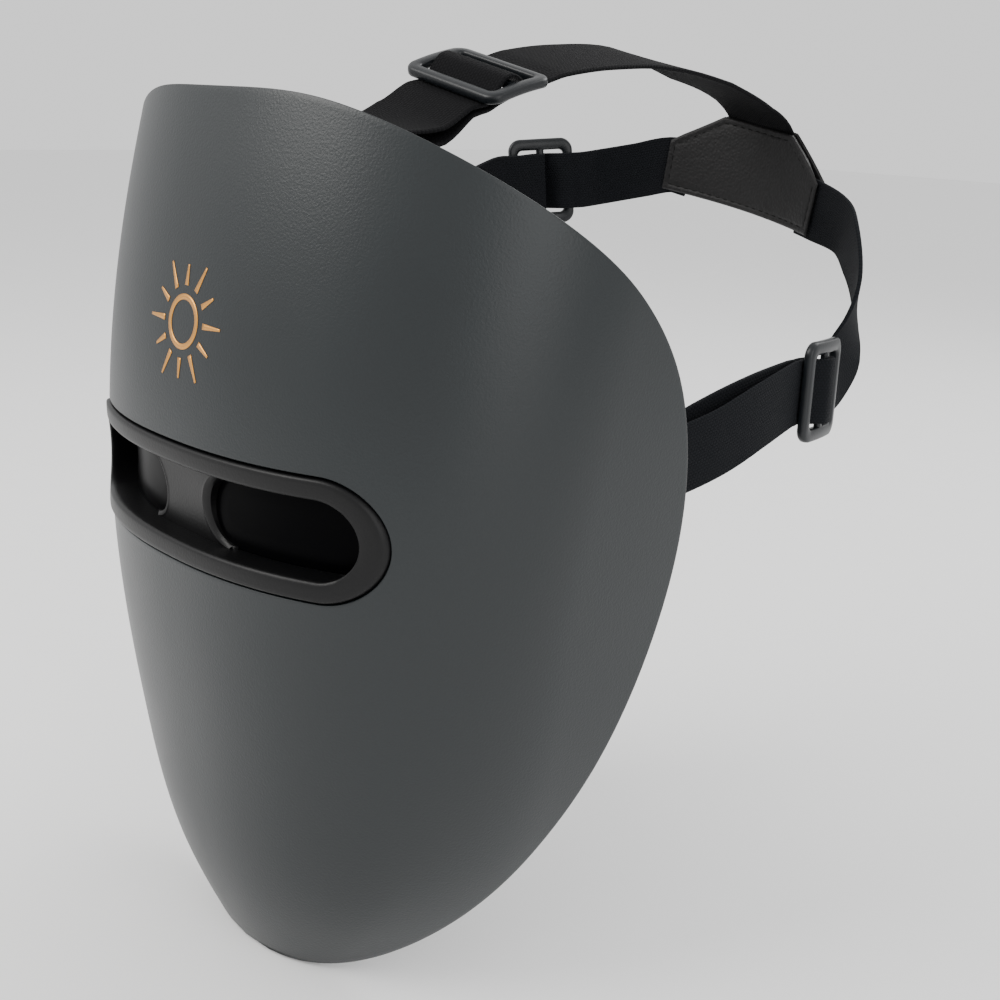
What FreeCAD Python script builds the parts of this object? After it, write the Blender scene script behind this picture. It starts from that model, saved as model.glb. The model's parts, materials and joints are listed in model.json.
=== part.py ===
import FreeCAD, Part
import math
import os
import Sketcher

# LED face mask: a curved hard shell with one wide eye slot, a translucent face panel that
# carries the lamps, a small electronics pack and a three-strap elastic harness.
# Frame: +Z up, the mask faces -Y, the wearer's left is +X. The origin is on the centre plane,
# level with the eyes, at the root of the wearer's nose. Sizes are in millimetres.

V = FreeCAD.Vector
doc = FreeCAD.newDocument("led_face_mask")
sheet = doc.addObject("Spreadsheet::Sheet", "Sizes")

SIZES = {
    "shell_top": 98.5, "shell_bottom": -130.9, "shell_wall": 2.2, "shell_back": 70,
    "eye_half_width": 64.9, "eye_half_height": 15.2, "eye_gap": 0.5,
    "bezel_proud": 0.8, "bezel_width": 5.5, "bezel_deep": 3.0, "duct_wall": 1.4,
    "bridge_half": 10, "bridge_thick": 2, "bridge_top_depth": 4, "bridge_bottom_depth": 6.3,
    "panel_outer": 9.0, "panel_wall": 1.8, "rim_inset": 0.6, "rim_deep": 5.0, "fit_gap": 0.1,
    "board_outer": 6.9, "board_thick": 0.4, "lamp_radius": 2.2, "lamp_tall": 1.0,
    "lamp_pitch": 13, "shield_wide": 4.0, "shield_deep": 4.2, "pad_deep": 4.5,
    "strap_thick": 1.2, "top_strap_width": 27, "side_strap_width": 18.5,
    "buckle_length": 22, "buckle_thick": 2.8, "buckle_rail": 3.2, "buckle_bar": 2.6,
    "anchor_base": 12, "anchor_loop": 12, "anchor_thick": 3, "anchor_standoff": 2.2,
    "anchor_slot": 5, "anchor_margin": 3.2, "yoke_layer": 1.3,
    "lens_front": 7.0, "lens_thick": 1.2, "lens_gap": 0.05,
    "button_long": 5.5, "button_radius": 2.1, "button_tall": 4.4,
    "button_height": 12, "port_height": -15, "port_wide": 3.3, "port_tall": 9.0,
    "port_deep": 7.4, "slot_clear": 0.25, "screw_radius": 1.0, "screw_head": 2.1,
    "screw_long": 5.6, "screw_cap": 1.1, "battery_wide": 24, "battery_tall": 36,
    "battery_thick": 2.9, "tape_thick": 0.3, "battery_lift": 0.85, "control_tall": 36, "control_deep": 20,
    "control_thick": 1.0, "switch_wide": 4, "switch_tall": 8, "switch_deep": 4, "edge_round": 0.8,
}
for row, (alias, value) in enumerate(SIZES.items(), start=1):
    sheet.set(f"A{row}", alias)
    sheet.set(f"B{row}", str(value))
    sheet.setAlias(f"B{row}", alias)
doc.recompute()


def size(alias):
    return float(sheet.get(alias))


# Shell form: at each height a half width, the place of its foremost point, and below, the
# depth from there to the widest point. Between, the section is a superellipse.
HEIGHTS = [105.2, 65.2, 20.2, -29.8, -74.8, -109.8, -137.0]
HALF_WIDTHS = [87.1, 87.6, 85.7, 80.3, 72.2, 58.0, 39.5]
FRONTS = [-18.9, -28.2, -34.6, -35.0, -30.2, -23.8, -12.6]
DEPTH_TOP = 71.7
DEPTH_BOTTOM = 55.2
ROUNDNESS = 2.256
# Rear edge seen from the side: how far it stands behind the front, from the chin to the top.
RIM_DEPTHS = [55.8, 76.6, 88.1, 95.6, 97.5, 82.8, 25.8]
FAR = 160


def between(stations, values, at):
    """Smooth curve through values given at falling or rising stations."""
    pairs = sorted(zip(stations, values))
    xs = [p[0] for p in pairs]
    ys = [p[1] for p in pairs]
    last = len(xs) - 1
    slopes = []
    for i in range(last + 1):
        low = max(i - 1, 0)
        high = min(i + 1, last)
        slopes.append((ys[high] - ys[low]) / (xs[high] - xs[low]))
    i = 0
    while i < last - 1 and at > xs[i + 1]:
        i += 1
    step = xs[i + 1] - xs[i]
    u = (at - xs[i]) / step
    return ((2 * u**3 - 3 * u**2 + 1) * ys[i] + (u**3 - 2 * u**2 + u) * step * slopes[i]
            + (3 * u**2 - 2 * u**3) * ys[i + 1] + (u**3 - u**2) * step * slopes[i + 1])


def section_numbers(height, offset):
    half = between(HEIGHTS, HALF_WIDTHS, height) - offset
    front = between(HEIGHTS, FRONTS, height) + offset
    rise = (height - HEIGHTS[-1]) / (HEIGHTS[0] - HEIGHTS[-1])
    depth = DEPTH_BOTTOM + (DEPTH_TOP - DEPTH_BOTTOM) * rise - offset
    return half, front, depth


def skin_point(angle, height, offset):
    """A point of the shell's form: angle 0 is foremost, +-90 is the widest place."""
    half, front, depth = section_numbers(height, offset)
    turn = math.radians(angle)
    across = abs(math.sin(turn)) ** (2 / ROUNDNESS)
    along = abs(math.cos(turn)) ** (2 / ROUNDNESS)
    return V(math.copysign(half * across, turn), front + depth - depth * along, height)


def skin_at(x, height, offset):
    half, front, depth = section_numbers(height, offset)
    share = min(abs(x) / half, 1.0)
    return V(x, front + depth - depth * (1 - share**ROUNDNESS) ** (1 / ROUNDNESS), height)


def skin_normal(x, height, offset):
    """Unit normal that points outwards, away from the face."""
    tiny = 0.5
    side = skin_at(x + tiny, height, offset) - skin_at(x - tiny, height, offset)
    rise = skin_at(x, height + tiny, offset) - skin_at(x, height - tiny, offset)
    normal = side.cross(rise)
    return normal.normalize()


def rim_point(share, inset):
    """Rear edge in side view, share 0 at the chin and 1 at the top, as (y, z)."""
    low = size("shell_bottom") + inset
    high = size("shell_top") - inset
    height = low + share * (high - low)
    stations = [i / 6 for i in range(7)]
    bulge = math.sqrt(4 * share * (1 - share))
    depth = between(stations, RIM_DEPTHS, share) * bulge
    return between(HEIGHTS, FRONTS, height) + depth - inset * bulge, height


def new_body(label):
    body = doc.addObject("PartDesign::Body", label)
    body.Label = label
    return body


def plane_of(body, role):
    return [f for f in body.Origin.OriginFeatures if f.Role == role][0]


def new_sketch(body, name, role):
    sketch = body.newObject("Sketcher::SketchObject", f"{body.Label}_{name}")
    sketch.AttachmentSupport = [(plane_of(body, role), "")]
    sketch.MapMode = "FlatFace"
    return sketch


def section_sketch(body, name, height, offset):
    """Closed D outline: superellipse front and straight sides back to a flat rear line."""
    sketch = new_sketch(body, name, "XY_Plane")
    sketch.AttachmentOffset = FreeCAD.Placement(V(0, 0, height), FreeCAD.Rotation())
    angles = [-90, -78, -66, -54, -41, -27, -12, 0, 12, 27, 41, 54, 66, 78, 90]
    points = []
    for angle in angles:
        point = skin_point(angle, height, offset)
        points.append(V(point.x, point.y, 0))
    curve = Part.BSplineCurve()
    curve.interpolate(points, InitialTangent=V(0, -60, 0), FinalTangent=V(0, 60, 0))
    back = size("shell_back")
    left = points[0]
    right = points[-1]
    sketch.addGeometry(curve, False)
    sketch.addGeometry(Part.LineSegment(right, V(right.x, back, 0)), False)
    sketch.addGeometry(Part.LineSegment(V(right.x, back, 0), V(left.x, back, 0)), False)
    sketch.addGeometry(Part.LineSegment(V(left.x, back, 0), left), False)
    return sketch


def add_loft(body, name, offset, kind):
    sketches = [section_sketch(body, f"{name}{i}", height, offset)
                for i, height in enumerate(HEIGHTS)]
    loft = body.newObject(kind, f"{body.Label}_{name}_loft")
    loft.Profile = sketches[0]
    loft.Sections = sketches[1:]
    loft.Ruled = False
    return loft


def pocket_both_ways(body, sketch, name):
    pocket = body.newObject("PartDesign::Pocket", f"{body.Label}_{name}_cut")
    pocket.Profile = sketch
    pocket.SideType = "Symmetric"
    pocket.Type = "Length"
    pocket.Length = 4 * FAR
    return pocket


def rectangle(left, right, low, high):
    return [V(left, low, 0), V(right, low, 0), V(right, high, 0), V(left, high, 0)]


def add_polygon(sketch, corners):
    for i, corner in enumerate(corners):
        sketch.addGeometry(Part.LineSegment(corner, corners[(i + 1) % len(corners)]), False)


def add_frame(sketch, half_wide, low, high):
    add_polygon(sketch, rectangle(-half_wide, half_wide, low, high))


def trim_to_rim(body, inset, keep_inside=True, name="rim"):
    """Cut by the side view of the rear edge; keeps what is in front of it, or behind."""
    sketch = new_sketch(body, name, "YZ_Plane")
    steps = 14
    shares = [(1 - math.cos(math.pi * i / steps)) / 2 for i in range(steps + 1)]
    points = [V(*rim_point(share, inset), 0) for share in shares]
    curve = Part.BSplineCurve()
    curve.interpolate(points)
    front = -FAR / 2
    sketch.addGeometry(curve, False)
    sketch.addGeometry(Part.LineSegment(points[-1], V(front, points[-1].y, 0)), False)
    sketch.addGeometry(Part.LineSegment(V(front, points[-1].y, 0), V(front, points[0].y, 0)), False)
    sketch.addGeometry(Part.LineSegment(V(front, points[0].y, 0), points[0]), False)
    if keep_inside:
        add_frame(sketch, FAR, -FAR, FAR)
    pocket_both_ways(body, sketch, name)


def add_stadium(sketch, centre_x, half_long, half_tall, centre_z=0.0):
    """Slot outline with round ends; the XZ sketch has x across and z up."""
    reach = half_long - half_tall
    left = V(centre_x - reach, centre_z, 0)
    right = V(centre_x + reach, centre_z, 0)
    lift = V(0, half_tall, 0)
    up = V(0, 0, 1)
    right_end = Part.Circle(right, up, half_tall)
    left_end = Part.Circle(left, up, half_tall)
    sketch.addGeometry(Part.LineSegment(left - lift, right - lift), False)
    sketch.addGeometry(Part.ArcOfCircle(right_end, -math.pi / 2, math.pi / 2), False)
    sketch.addGeometry(Part.LineSegment(right + lift, left + lift), False)
    sketch.addGeometry(Part.ArcOfCircle(left_end, math.pi / 2, 3 * math.pi / 2), False)


def cut_stadiums(body, name, stadiums, keep_inside=False):
    """Cut round-ended slots seen from the front, or keep only what lies inside them."""
    sketch = new_sketch(body, name, "XZ_Plane")
    for stadium in stadiums:
        add_stadium(sketch, *stadium)
    if keep_inside:
        add_frame(sketch, FAR, -FAR, FAR)
    pocket_both_ways(body, sketch, name)


def curved_sheet(label, outer, inner):
    """A wall of the shell's form between two offsets, not yet trimmed."""
    body = new_body(label)
    add_loft(body, "outside", outer, "PartDesign::AdditiveLoft")
    add_loft(body, "inside", inner, "PartDesign::SubtractiveLoft")
    return body


# ---- shell, rim frame and face panel ----
EYE_X = size("bridge_half") + (size("eye_half_width") - size("eye_gap") - size("bezel_width")
                               - size("bridge_half")) / 2
DUCT_HALF_WIDTH = size("eye_half_width") - size("eye_gap") - size("bezel_width")
DUCT_HALF_HEIGHT = size("eye_half_height") - size("eye_gap") - size("bezel_width") + 0.4
EYE_HALF = EYE_X - size("bridge_half")
PANEL_INNER = size("panel_outer") + size("panel_wall")
GAP = size("fit_gap")


def eye_stadiums(grow):
    return [(side * EYE_X, EYE_HALF + grow, DUCT_HALF_HEIGHT + grow) for side in (-1, 1)]


outer_shell = curved_sheet("outer_shell", 0, size("shell_wall"))
trim_to_rim(outer_shell, 0)
cut_stadiums(outer_shell, "window", [(0, size("eye_half_width"), size("eye_half_height"))])

face_panel = curved_sheet("face_panel", size("panel_outer"), PANEL_INNER)
trim_to_rim(face_panel, size("rim_inset"))
cut_stadiums(face_panel, "eyes", eye_stadiums(0))

rim_frame = curved_sheet("rim_frame", size("shell_wall") + GAP, size("panel_outer") - GAP)
trim_to_rim(rim_frame, size("rim_inset"))
trim_to_rim(rim_frame, size("rim_inset") + size("rim_deep"), keep_inside=False, name="hollow")


def side_pocket(body, name, height, half_tall, half_wide, rounded):
    """A pocket through the rim frame on the wearer's right, seen from behind."""
    half_at, _, _ = section_numbers(height, (size("shell_wall") + size("panel_outer")) / 2)
    sketch = new_sketch(body, name, "XZ_Plane")
    centre = V(-half_at, height, 0)
    if rounded:
        reach = half_tall - half_wide
        low = centre - V(0, reach, 0)
        high = centre + V(0, reach, 0)
        out = V(half_wide, 0, 0)
        axis = V(0, 0, 1)
        sketch.addGeometry(Part.LineSegment(low + out, high + out), False)
        sketch.addGeometry(Part.ArcOfCircle(Part.Circle(high, axis, half_wide), 0, math.pi), False)
        sketch.addGeometry(Part.LineSegment(high - out, low - out), False)
        sketch.addGeometry(Part.ArcOfCircle(Part.Circle(low, axis, half_wide), math.pi, 2 * math.pi), False)
    else:
        corners = rectangle(-half_wide, half_wide, -half_tall, half_tall)
        add_polygon(sketch, [centre + corner for corner in corners])
    pocket_both_ways(body, sketch, name)
    return -half_at


CLEAR = size("slot_clear")
button_x = side_pocket(rim_frame, "button", size("button_height"),
                       size("button_long") + CLEAR, size("button_radius") + CLEAR, True)
port_x = side_pocket(rim_frame, "port", size("port_height"),
                     size("port_tall") / 2 + 0.05, size("port_wide") / 2 + 0.05, False)

# ---- eye frame: proud bezel, duct wall behind it and a recessed bridge over the nose ----
bezel = curved_sheet("bezel_blank", -size("bezel_proud"), size("bezel_deep"))
bezel_outline = (0, size("eye_half_width") - size("eye_gap"), size("eye_half_height") - size("eye_gap"))
cut_stadiums(bezel, "outline", [bezel_outline], keep_inside=True)
cut_stadiums(bezel, "opening", [(0, DUCT_HALF_WIDTH, DUCT_HALF_HEIGHT)])

duct = curved_sheet("duct_blank", 1.0, size("panel_outer") - GAP)
duct_outline = (0, DUCT_HALF_WIDTH + size("duct_wall"), DUCT_HALF_HEIGHT + size("duct_wall"))
cut_stadiums(duct, "outline", [duct_outline], keep_inside=True)
cut_stadiums(duct, "opening", [(0, DUCT_HALF_WIDTH, DUCT_HALF_HEIGHT)])

bridge = new_body("bridge_blank")
bridge_side = new_sketch(bridge, "side", "YZ_Plane")
front_y = FRONTS[3]
half_tall = DUCT_HALF_HEIGHT + 0.5
top_y = front_y + size("bridge_top_depth")
bottom_y = front_y + size("bridge_bottom_depth")
thick = size("bridge_thick")
bridge_corners = [V(top_y, half_tall, 0), V(top_y + thick, half_tall, 0),
                  V(bottom_y + thick, -half_tall, 0), V(bottom_y, -half_tall, 0)]
add_polygon(bridge_side, bridge_corners)
bridge_pad = bridge.newObject("PartDesign::Pad", "bridge_pad")
bridge_pad.Profile = bridge_side
bridge_pad.SideType = "Symmetric"
bridge_pad.Length = 4 * size("bridge_half")
cut_stadiums(bridge, "eyes", eye_stadiums(0))
doc.recompute()

eye_frame = doc.addObject("Part::MultiFuse", "eye_frame")
eye_frame.Label = "eye_frame"
eye_frame.Shapes = [bezel, duct, bridge]

# ---- dark lenses that close the two eye openings, level with the back of the bridge ----
lenses = []
for side, name in ((1, "left_eye_lens"), (-1, "right_eye_lens")):
    lens = curved_sheet(name, size("lens_front"), size("lens_front") + size("lens_thick"))
    gap = size("lens_gap")
    cut_stadiums(lens, "outline", [(side * EYE_X, EYE_HALF - gap, DUCT_HALF_HEIGHT - gap)], keep_inside=True)
    lenses.append(lens)

# ---- soft light shields round the eyes, forehead pad and nose pad, on the face side ----
shields = []
for side, name in ((1, "left_eye_shield"), (-1, "right_eye_shield")):
    shield = curved_sheet(name, PANEL_INNER + GAP, PANEL_INNER + size("shield_deep"))
    wide = size("shield_wide")
    ring = (side * EYE_X, EYE_HALF + wide, DUCT_HALF_HEIGHT + wide)
    cut_stadiums(shield, "outline", [ring], keep_inside=True)
    cut_stadiums(shield, "opening", [(side * EYE_X, EYE_HALF, DUCT_HALF_HEIGHT)])
    shields.append(shield)

# centre_x, half_long, half_tall and centre_z of each pad's outline
PADS = {"forehead_pad": (0, 40, 8, 54), "nose_pad": (0, 17, 6, -24)}
pads = []
for name, outline in PADS.items():
    pad = curved_sheet(name, PANEL_INNER + GAP, PANEL_INNER + size("pad_deep"))
    cut_stadiums(pad, "outline", [outline], keep_inside=True)
    pads.append(pad)

# ---- lamp boards and lamps ----
BOARDS = {"forehead": (0, 66, 24, 48), "left_cheek": (40, 26, 22, -42),
          "right_cheek": (-40, 26, 22, -42), "chin": (0, 36, 16, -90)}
board_bodies = []
for name, (centre_x, half_long, half_tall, centre_z) in BOARDS.items():
    board = curved_sheet(f"{name}_board", size("board_outer"), size("board_outer") + size("board_thick"))
    sketch = new_sketch(board, "outline", "XZ_Plane")
    add_polygon(sketch, rectangle(centre_x - half_long, centre_x + half_long,
                                  centre_z - half_tall, centre_z + half_tall))
    add_frame(sketch, FAR, -FAR, FAR)
    pocket_both_ways(board, sketch, "outline")
    board_bodies.append(board)
doc.recompute()


def along_normal(solid, point, normal):
    solid.Placement = FreeCAD.Placement(point, FreeCAD.Rotation(V(0, 0, 1), normal))
    return solid


def feature(label, shape):
    item = doc.addObject("Part::Feature", label)
    item.Label = label
    item.Shape = shape
    item.Placement = FreeCAD.Placement()
    return item


exports = [outer_shell, face_panel, rim_frame, eye_frame] + lenses + shields + pads + board_bodies
LAMP_OFFSET = size("board_outer") + size("board_thick") + 3.5 * GAP
EDGE = 5
for name, (centre_x, half_long, half_tall, centre_z) in BOARDS.items():
    pitch = size("lamp_pitch")
    across = int((2 * half_long - 2 * EDGE) // pitch)
    up = int((2 * half_tall - 2 * EDGE) // pitch)
    lamps = []
    for column in range(across + 1):
        for row in range(up + 1):
            x = centre_x + (column - across / 2) * pitch
            height = centre_z + (row - up / 2) * pitch
            point = skin_at(x, height, LAMP_OFFSET)
            inward = skin_normal(x, height, LAMP_OFFSET) * -1
            if inward.y < 0:
                inward = inward * -1
            lamp = Part.makeCylinder(size("lamp_radius"), size("lamp_tall"))
            lamps.append(along_normal(lamp, point, inward))
    exports.append(feature(f"{name}_lamps", Part.makeCompound(lamps)))

# ---- flat flexible links that join the boards, just in front of them ----
board_links = curved_sheet("board_links", size("board_outer") - 0.5, size("board_outer") - 0.2)
links_sketch = new_sketch(board_links, "strips", "XZ_Plane")
LINKS = [(61.8, 65.8, -23, 27), (25, 31, -77, -61)]
for side in (1, -1):
    for near, far, low, high in LINKS:
        add_polygon(links_sketch, rectangle(side * near, side * far, low, high))
add_frame(links_sketch, FAR, -FAR, FAR)
pocket_both_ways(board_links, links_sketch, "strips")
exports.append(board_links)


def face_turn(x, height):
    """Turn that lays a flat thing's thin Z side along the shell's normal, X kept level."""
    normal = skin_normal(x, height, 0)
    if normal.y > 0:
        normal = normal * -1
    up = V(0, 0, 1)
    level = normal.cross(up).normalize() * -1
    rise = normal.cross(level)
    return FreeCAD.Rotation(level, rise, normal, "ZXY")


def flat_block(label, wide, tall, thick, centre, turn, rounded="edge_round"):
    """A rectangular block, its corners rounded, with its centre and turn given."""
    body = new_body(label)
    sketch = new_sketch(body, "outline", "XY_Plane")
    half_x = size(wide) / 2
    half_y = size(tall) / 2
    add_polygon(sketch, rectangle(-half_x, half_x, -half_y, half_y))
    for i in range(4):
        sketch.addConstraint(Sketcher.Constraint("Coincident", i, 2, (i + 1) % 4, 1))
    for i, kind in enumerate(("Horizontal", "Vertical", "Horizontal", "Vertical")):
        sketch.addConstraint(Sketcher.Constraint(kind, i))
    sketch.addConstraint(Sketcher.Constraint("Symmetric", 0, 1, 2, 1, -1, 1))
    across = sketch.addConstraint(Sketcher.Constraint("DistanceX", 0, 1, 0, 2, 2 * half_x))
    upwards = sketch.addConstraint(Sketcher.Constraint("DistanceY", 1, 1, 1, 2, 2 * half_y))
    sketch.setExpression(f"Constraints[{across}]", f"Sizes.{wide}")
    sketch.setExpression(f"Constraints[{upwards}]", f"Sizes.{tall}")
    pad = body.newObject("PartDesign::Pad", f"{label}_pad")
    pad.Profile = sketch
    pad.SideType = "Symmetric"
    pad.setExpression("Length", f"Sizes.{thick}")
    doc.recompute()
    fillet = body.newObject("PartDesign::Fillet", f"{label}_round")
    uprights = [f"Edge{i + 1}" for i, edge in enumerate(pad.Shape.Edges)
                if abs(edge.tangentAt(edge.FirstParameter).z) > 0.99]
    fillet.Base = (pad, uprights)
    fillet.setExpression("Radius", f"Sizes.{rounded}")
    body.Placement = FreeCAD.Placement(centre, turn)
    return body


# ---- battery and its tape behind the forehead, control board at the wearer's right ----
BATTERY_Z = 54
battery_turn = face_turn(0, BATTERY_Z)
outward = skin_normal(0, BATTERY_Z, 0)
if outward.y > 0:
    outward = outward * -1
shell_inside = skin_at(0, BATTERY_Z, size("shell_wall"))
tape_at = shell_inside - outward * (size("battery_lift") + size("tape_thick") / 2)
battery_at = tape_at - outward * (size("tape_thick") + size("battery_thick")) / 2
LAYERS = (("battery_tape", "tape_thick", tape_at), ("battery", "battery_thick", battery_at))
for label, thickness, middle in LAYERS:
    exports.append(flat_block(label, "battery_wide", "battery_tall", thickness, middle, battery_turn))

SIDE_TURN = FreeCAD.Rotation(V(0, 1, 0), V(0, 0, 1), V(1, 0, 0), "ZXY")
CONTROL_Y = 41
SWITCH_Y = 53.2
side_x = (button_x + port_x) / 2
exports.append(flat_block("control_board", "control_deep", "control_tall", "control_thick",
                          V(side_x, CONTROL_Y, 0), SIDE_TURN))
exports.append(flat_block("power_switch", "switch_deep", "switch_tall", "switch_wide",
                          V(button_x, SWITCH_Y, size("button_height")), SIDE_TURN))


def rim_rear(height):
    """Y of the rim frame's rear face at a height."""
    low = size("shell_bottom") + size("rim_inset")
    high = size("shell_top") - size("rim_inset")
    return rim_point((height - low) / (high - low), size("rim_inset"))[0]


def pad_sketch(body, sketch, name, alias, reverse=False):
    pad = body.newObject("PartDesign::Pad", f"{body.Label}_{name}")
    pad.Profile = sketch
    pad.Reversed = reverse
    pad.setExpression("Length", f"Sizes.{alias}")
    return pad


def pocket_sketch(body, sketch, name, length, reverse=False):
    pocket = body.newObject("PartDesign::Pocket", f"{body.Label}_{name}")
    pocket.Profile = sketch
    pocket.Reversed = reverse
    pocket.Type = "Length"
    pocket.Length = length
    return pocket


# ---- power button: round-ended key that stands proud of the rim and travels forwards ----
BUTTON_PROUD = 1.1
UPRIGHT = FreeCAD.Rotation(V(0, 1, 0), 90)
power_button = new_body("power_button")
key_outline = new_sketch(power_button, "outline", "XZ_Plane")
add_stadium(key_outline, 0, size("button_long"), size("button_radius"))
key_pad = pad_sketch(power_button, key_outline, "pad", "button_tall")
doc.recompute()
key_round = power_button.newObject("PartDesign::Fillet", "power_button_round")
top_edges = [f"Edge{i + 1}" for i, edge in enumerate(key_pad.Shape.Edges) if edge.BoundBox.YMin > -1e-6]
key_round.Base = (key_pad, top_edges)
key_round.Radius = 0.6
power_button.Placement = FreeCAD.Placement(
    V(button_x, rim_rear(size("button_height")) + BUTTON_PROUD, size("button_height")), UPRIGHT)
exports.append(power_button)

# ---- charging socket: round-ended metal sleeve with a contact tongue, mouth to the rear ----
SLEEVE = 0.35
port = new_body("usb_c_socket")
port_outline = new_sketch(port, "outline", "XZ_Plane")
add_stadium(port_outline, 0, size("port_tall") / 2, size("port_wide") / 2)
pad_sketch(port, port_outline, "pad", "port_deep")
port_mouth = new_sketch(port, "mouth", "XZ_Plane")
add_stadium(port_mouth, 0, size("port_tall") / 2 - SLEEVE, size("port_wide") / 2 - SLEEVE)
add_stadium(port_mouth, 0, size("port_tall") / 2 - SLEEVE - 0.9, size("port_wide") / 2 - SLEEVE - 0.9)
pocket_sketch(port, port_mouth, "mouth_cut", size("port_deep") - 1.2, reverse=True)
PORT_SUNK = 0.2
port.Placement = FreeCAD.Placement(
    V(port_x, rim_rear(size("port_height")) - PORT_SUNK, size("port_height")), UPRIGHT)
exports.append(port)


# ---- strap anchors: screwed loop plates ----
def strap_anchor(label, strap_alias, origin, rear, inward):
    """Local X across the strap, local Y towards the loop, local Z away from the panel."""
    body = new_body(label)
    strap = size(strap_alias)
    half = strap / 2 + size("anchor_margin")
    base = new_sketch(body, "base", "XY_Plane")
    depth = size("anchor_base")
    add_polygon(base, rectangle(-half, half, -depth, 0.5))
    pad_sketch(body, base, "base_pad", "anchor_standoff + Sizes.anchor_thick")
    loop = new_sketch(body, "loop", "XY_Plane")
    loop.AttachmentOffset = FreeCAD.Placement(V(0, 0, size("anchor_standoff")), FreeCAD.Rotation())
    reach = size("anchor_loop")
    add_polygon(loop, rectangle(-half, half, -1, reach))
    loop_pad = pad_sketch(body, loop, "loop_pad", "anchor_thick")
    slot = new_sketch(body, "slot", "XY_Plane")
    low = 3
    high = low + size("anchor_slot")
    wide = strap / 2 + 0.8
    add_polygon(slot, rectangle(-wide, wide, low, high))
    for side in (-1, 1):
        hole = Part.Circle(V(side * half / 2, -depth / 2, 0), V(0, 0, 1), size("screw_radius") + 0.1)
        slot.addGeometry(hole, False)
    pocket_sketch(body, slot, "slot_cut", 20, reverse=True)
    doc.recompute()
    tip = body.Tip
    fillet = body.newObject("PartDesign::Fillet", f"{label}_round")
    corners = []
    for i, edge in enumerate(tip.Shape.Edges):
        centre = edge.BoundBox.Center
        upright = edge.BoundBox.XLength < 1e-6 and edge.BoundBox.YLength < 1e-6
        at_end = centre.y > reach - 0.1 or centre.y < 0.1 - depth
        if upright and abs(abs(centre.x) - half) < 0.01 and at_end:
            corners.append(f"Edge{i + 1}")
    fillet.Base = (tip, corners)
    fillet.Radius = 1.6
    across = V(rear).cross(V(inward)).normalize()
    turn = FreeCAD.Rotation(across, V(rear), V(inward), "ZYX")
    body.Placement = FreeCAD.Placement(origin, turn)
    screws_at = [(side * half / 2, -depth / 2) for side in (-1, 1)]
    top = size("anchor_standoff") + size("anchor_thick")
    seats = [body.Placement.multVec(V(x, y, top + 0.02)) for x, y in screws_at]
    bar = body.Placement.multVec(V(0, (high + reach) / 2, size("anchor_standoff") + size("anchor_thick") / 2))
    return body, bar, across, seats


WALL_LEAN = 0.108
TOP_LEAN = 0.2
ANCHOR_Y = 46
ANCHOR_Z = 8
SEAT_GAP = 0.15
side_seat_x = section_numbers(ANCHOR_Z, PANEL_INNER)[0] - SEAT_GAP - 0.2
anchor_data = {}
anchor_data["top"] = strap_anchor("top_anchor", "top_strap_width", V(0, -14.3, 75.4),
                                  V(0, TOP_LEAN, 1).normalize(), V(0, 1, -TOP_LEAN).normalize())
anchor_data["left"] = strap_anchor("left_anchor", "side_strap_width", V(side_seat_x, ANCHOR_Y, ANCHOR_Z),
                                   V(0, 1, 0), V(-1, 0, WALL_LEAN).normalize())
anchor_data["right"] = strap_anchor("right_anchor", "side_strap_width", V(-side_seat_x, ANCHOR_Y, ANCHOR_Z),
                                    V(0, 1, 0), V(1, 0, WALL_LEAN).normalize())
exports += [anchor_data[name][0] for name in anchor_data]


# ---- screws: six in the anchors, six along the rim ----
def screw(seat, axis):
    """Pan head above the seat, shank below it, with a cross recess."""
    head = Part.makeCylinder(size("screw_head"), size("screw_cap"))
    shank = Part.makeCylinder(size("screw_radius"), size("screw_long"), V(0, 0, -size("screw_long")))
    solid = head.fuse(shank)
    recess = size("screw_cap") / 2
    long_side = size("screw_head") * 1.2
    short_side = 0.45
    for wide, deep in ((long_side, short_side), (short_side, long_side)):
        corner = V(-wide / 2, -deep / 2, size("screw_cap") - recess / 2)
        solid = solid.cut(Part.makeBox(wide, deep, recess, corner))
    return along_normal(solid, seat, axis)


anchor_screws = []
INWARDS = {"top": V(0, 1, -TOP_LEAN), "left": V(-1, 0, WALL_LEAN), "right": V(1, 0, WALL_LEAN)}
for name, inward in INWARDS.items():
    for seat in anchor_data[name][3]:
        anchor_screws.append(screw(seat, inward))
exports.append(feature("anchor_screws", Part.makeCompound(anchor_screws)))

rim_screws = []
SCREW_INSET = 3.4
for height in (62, -50, -100):
    low = size("shell_bottom")
    share = (height - low) / (size("shell_top") - low)
    rear, _ = rim_point(share, SCREW_INSET)
    half, front, depth = section_numbers(height, PANEL_INNER)
    along = min((front + depth - rear) / depth, 1)
    across = half if along < 0 else half * (1 - along**ROUNDNESS) ** (1 / ROUNDNESS)
    for side in (-1, 1):
        normal = V(side, 0, 0) if along < 0.02 else skin_normal(side * across, height, PANEL_INNER)
        if normal.x * side < 0:
            normal = normal * -1
        rim_screws.append(screw(V(side * across, rear, height) - normal * 0.25, normal * -1))
exports.append(feature("rim_screws", Part.makeCompound(rim_screws)))


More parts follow.
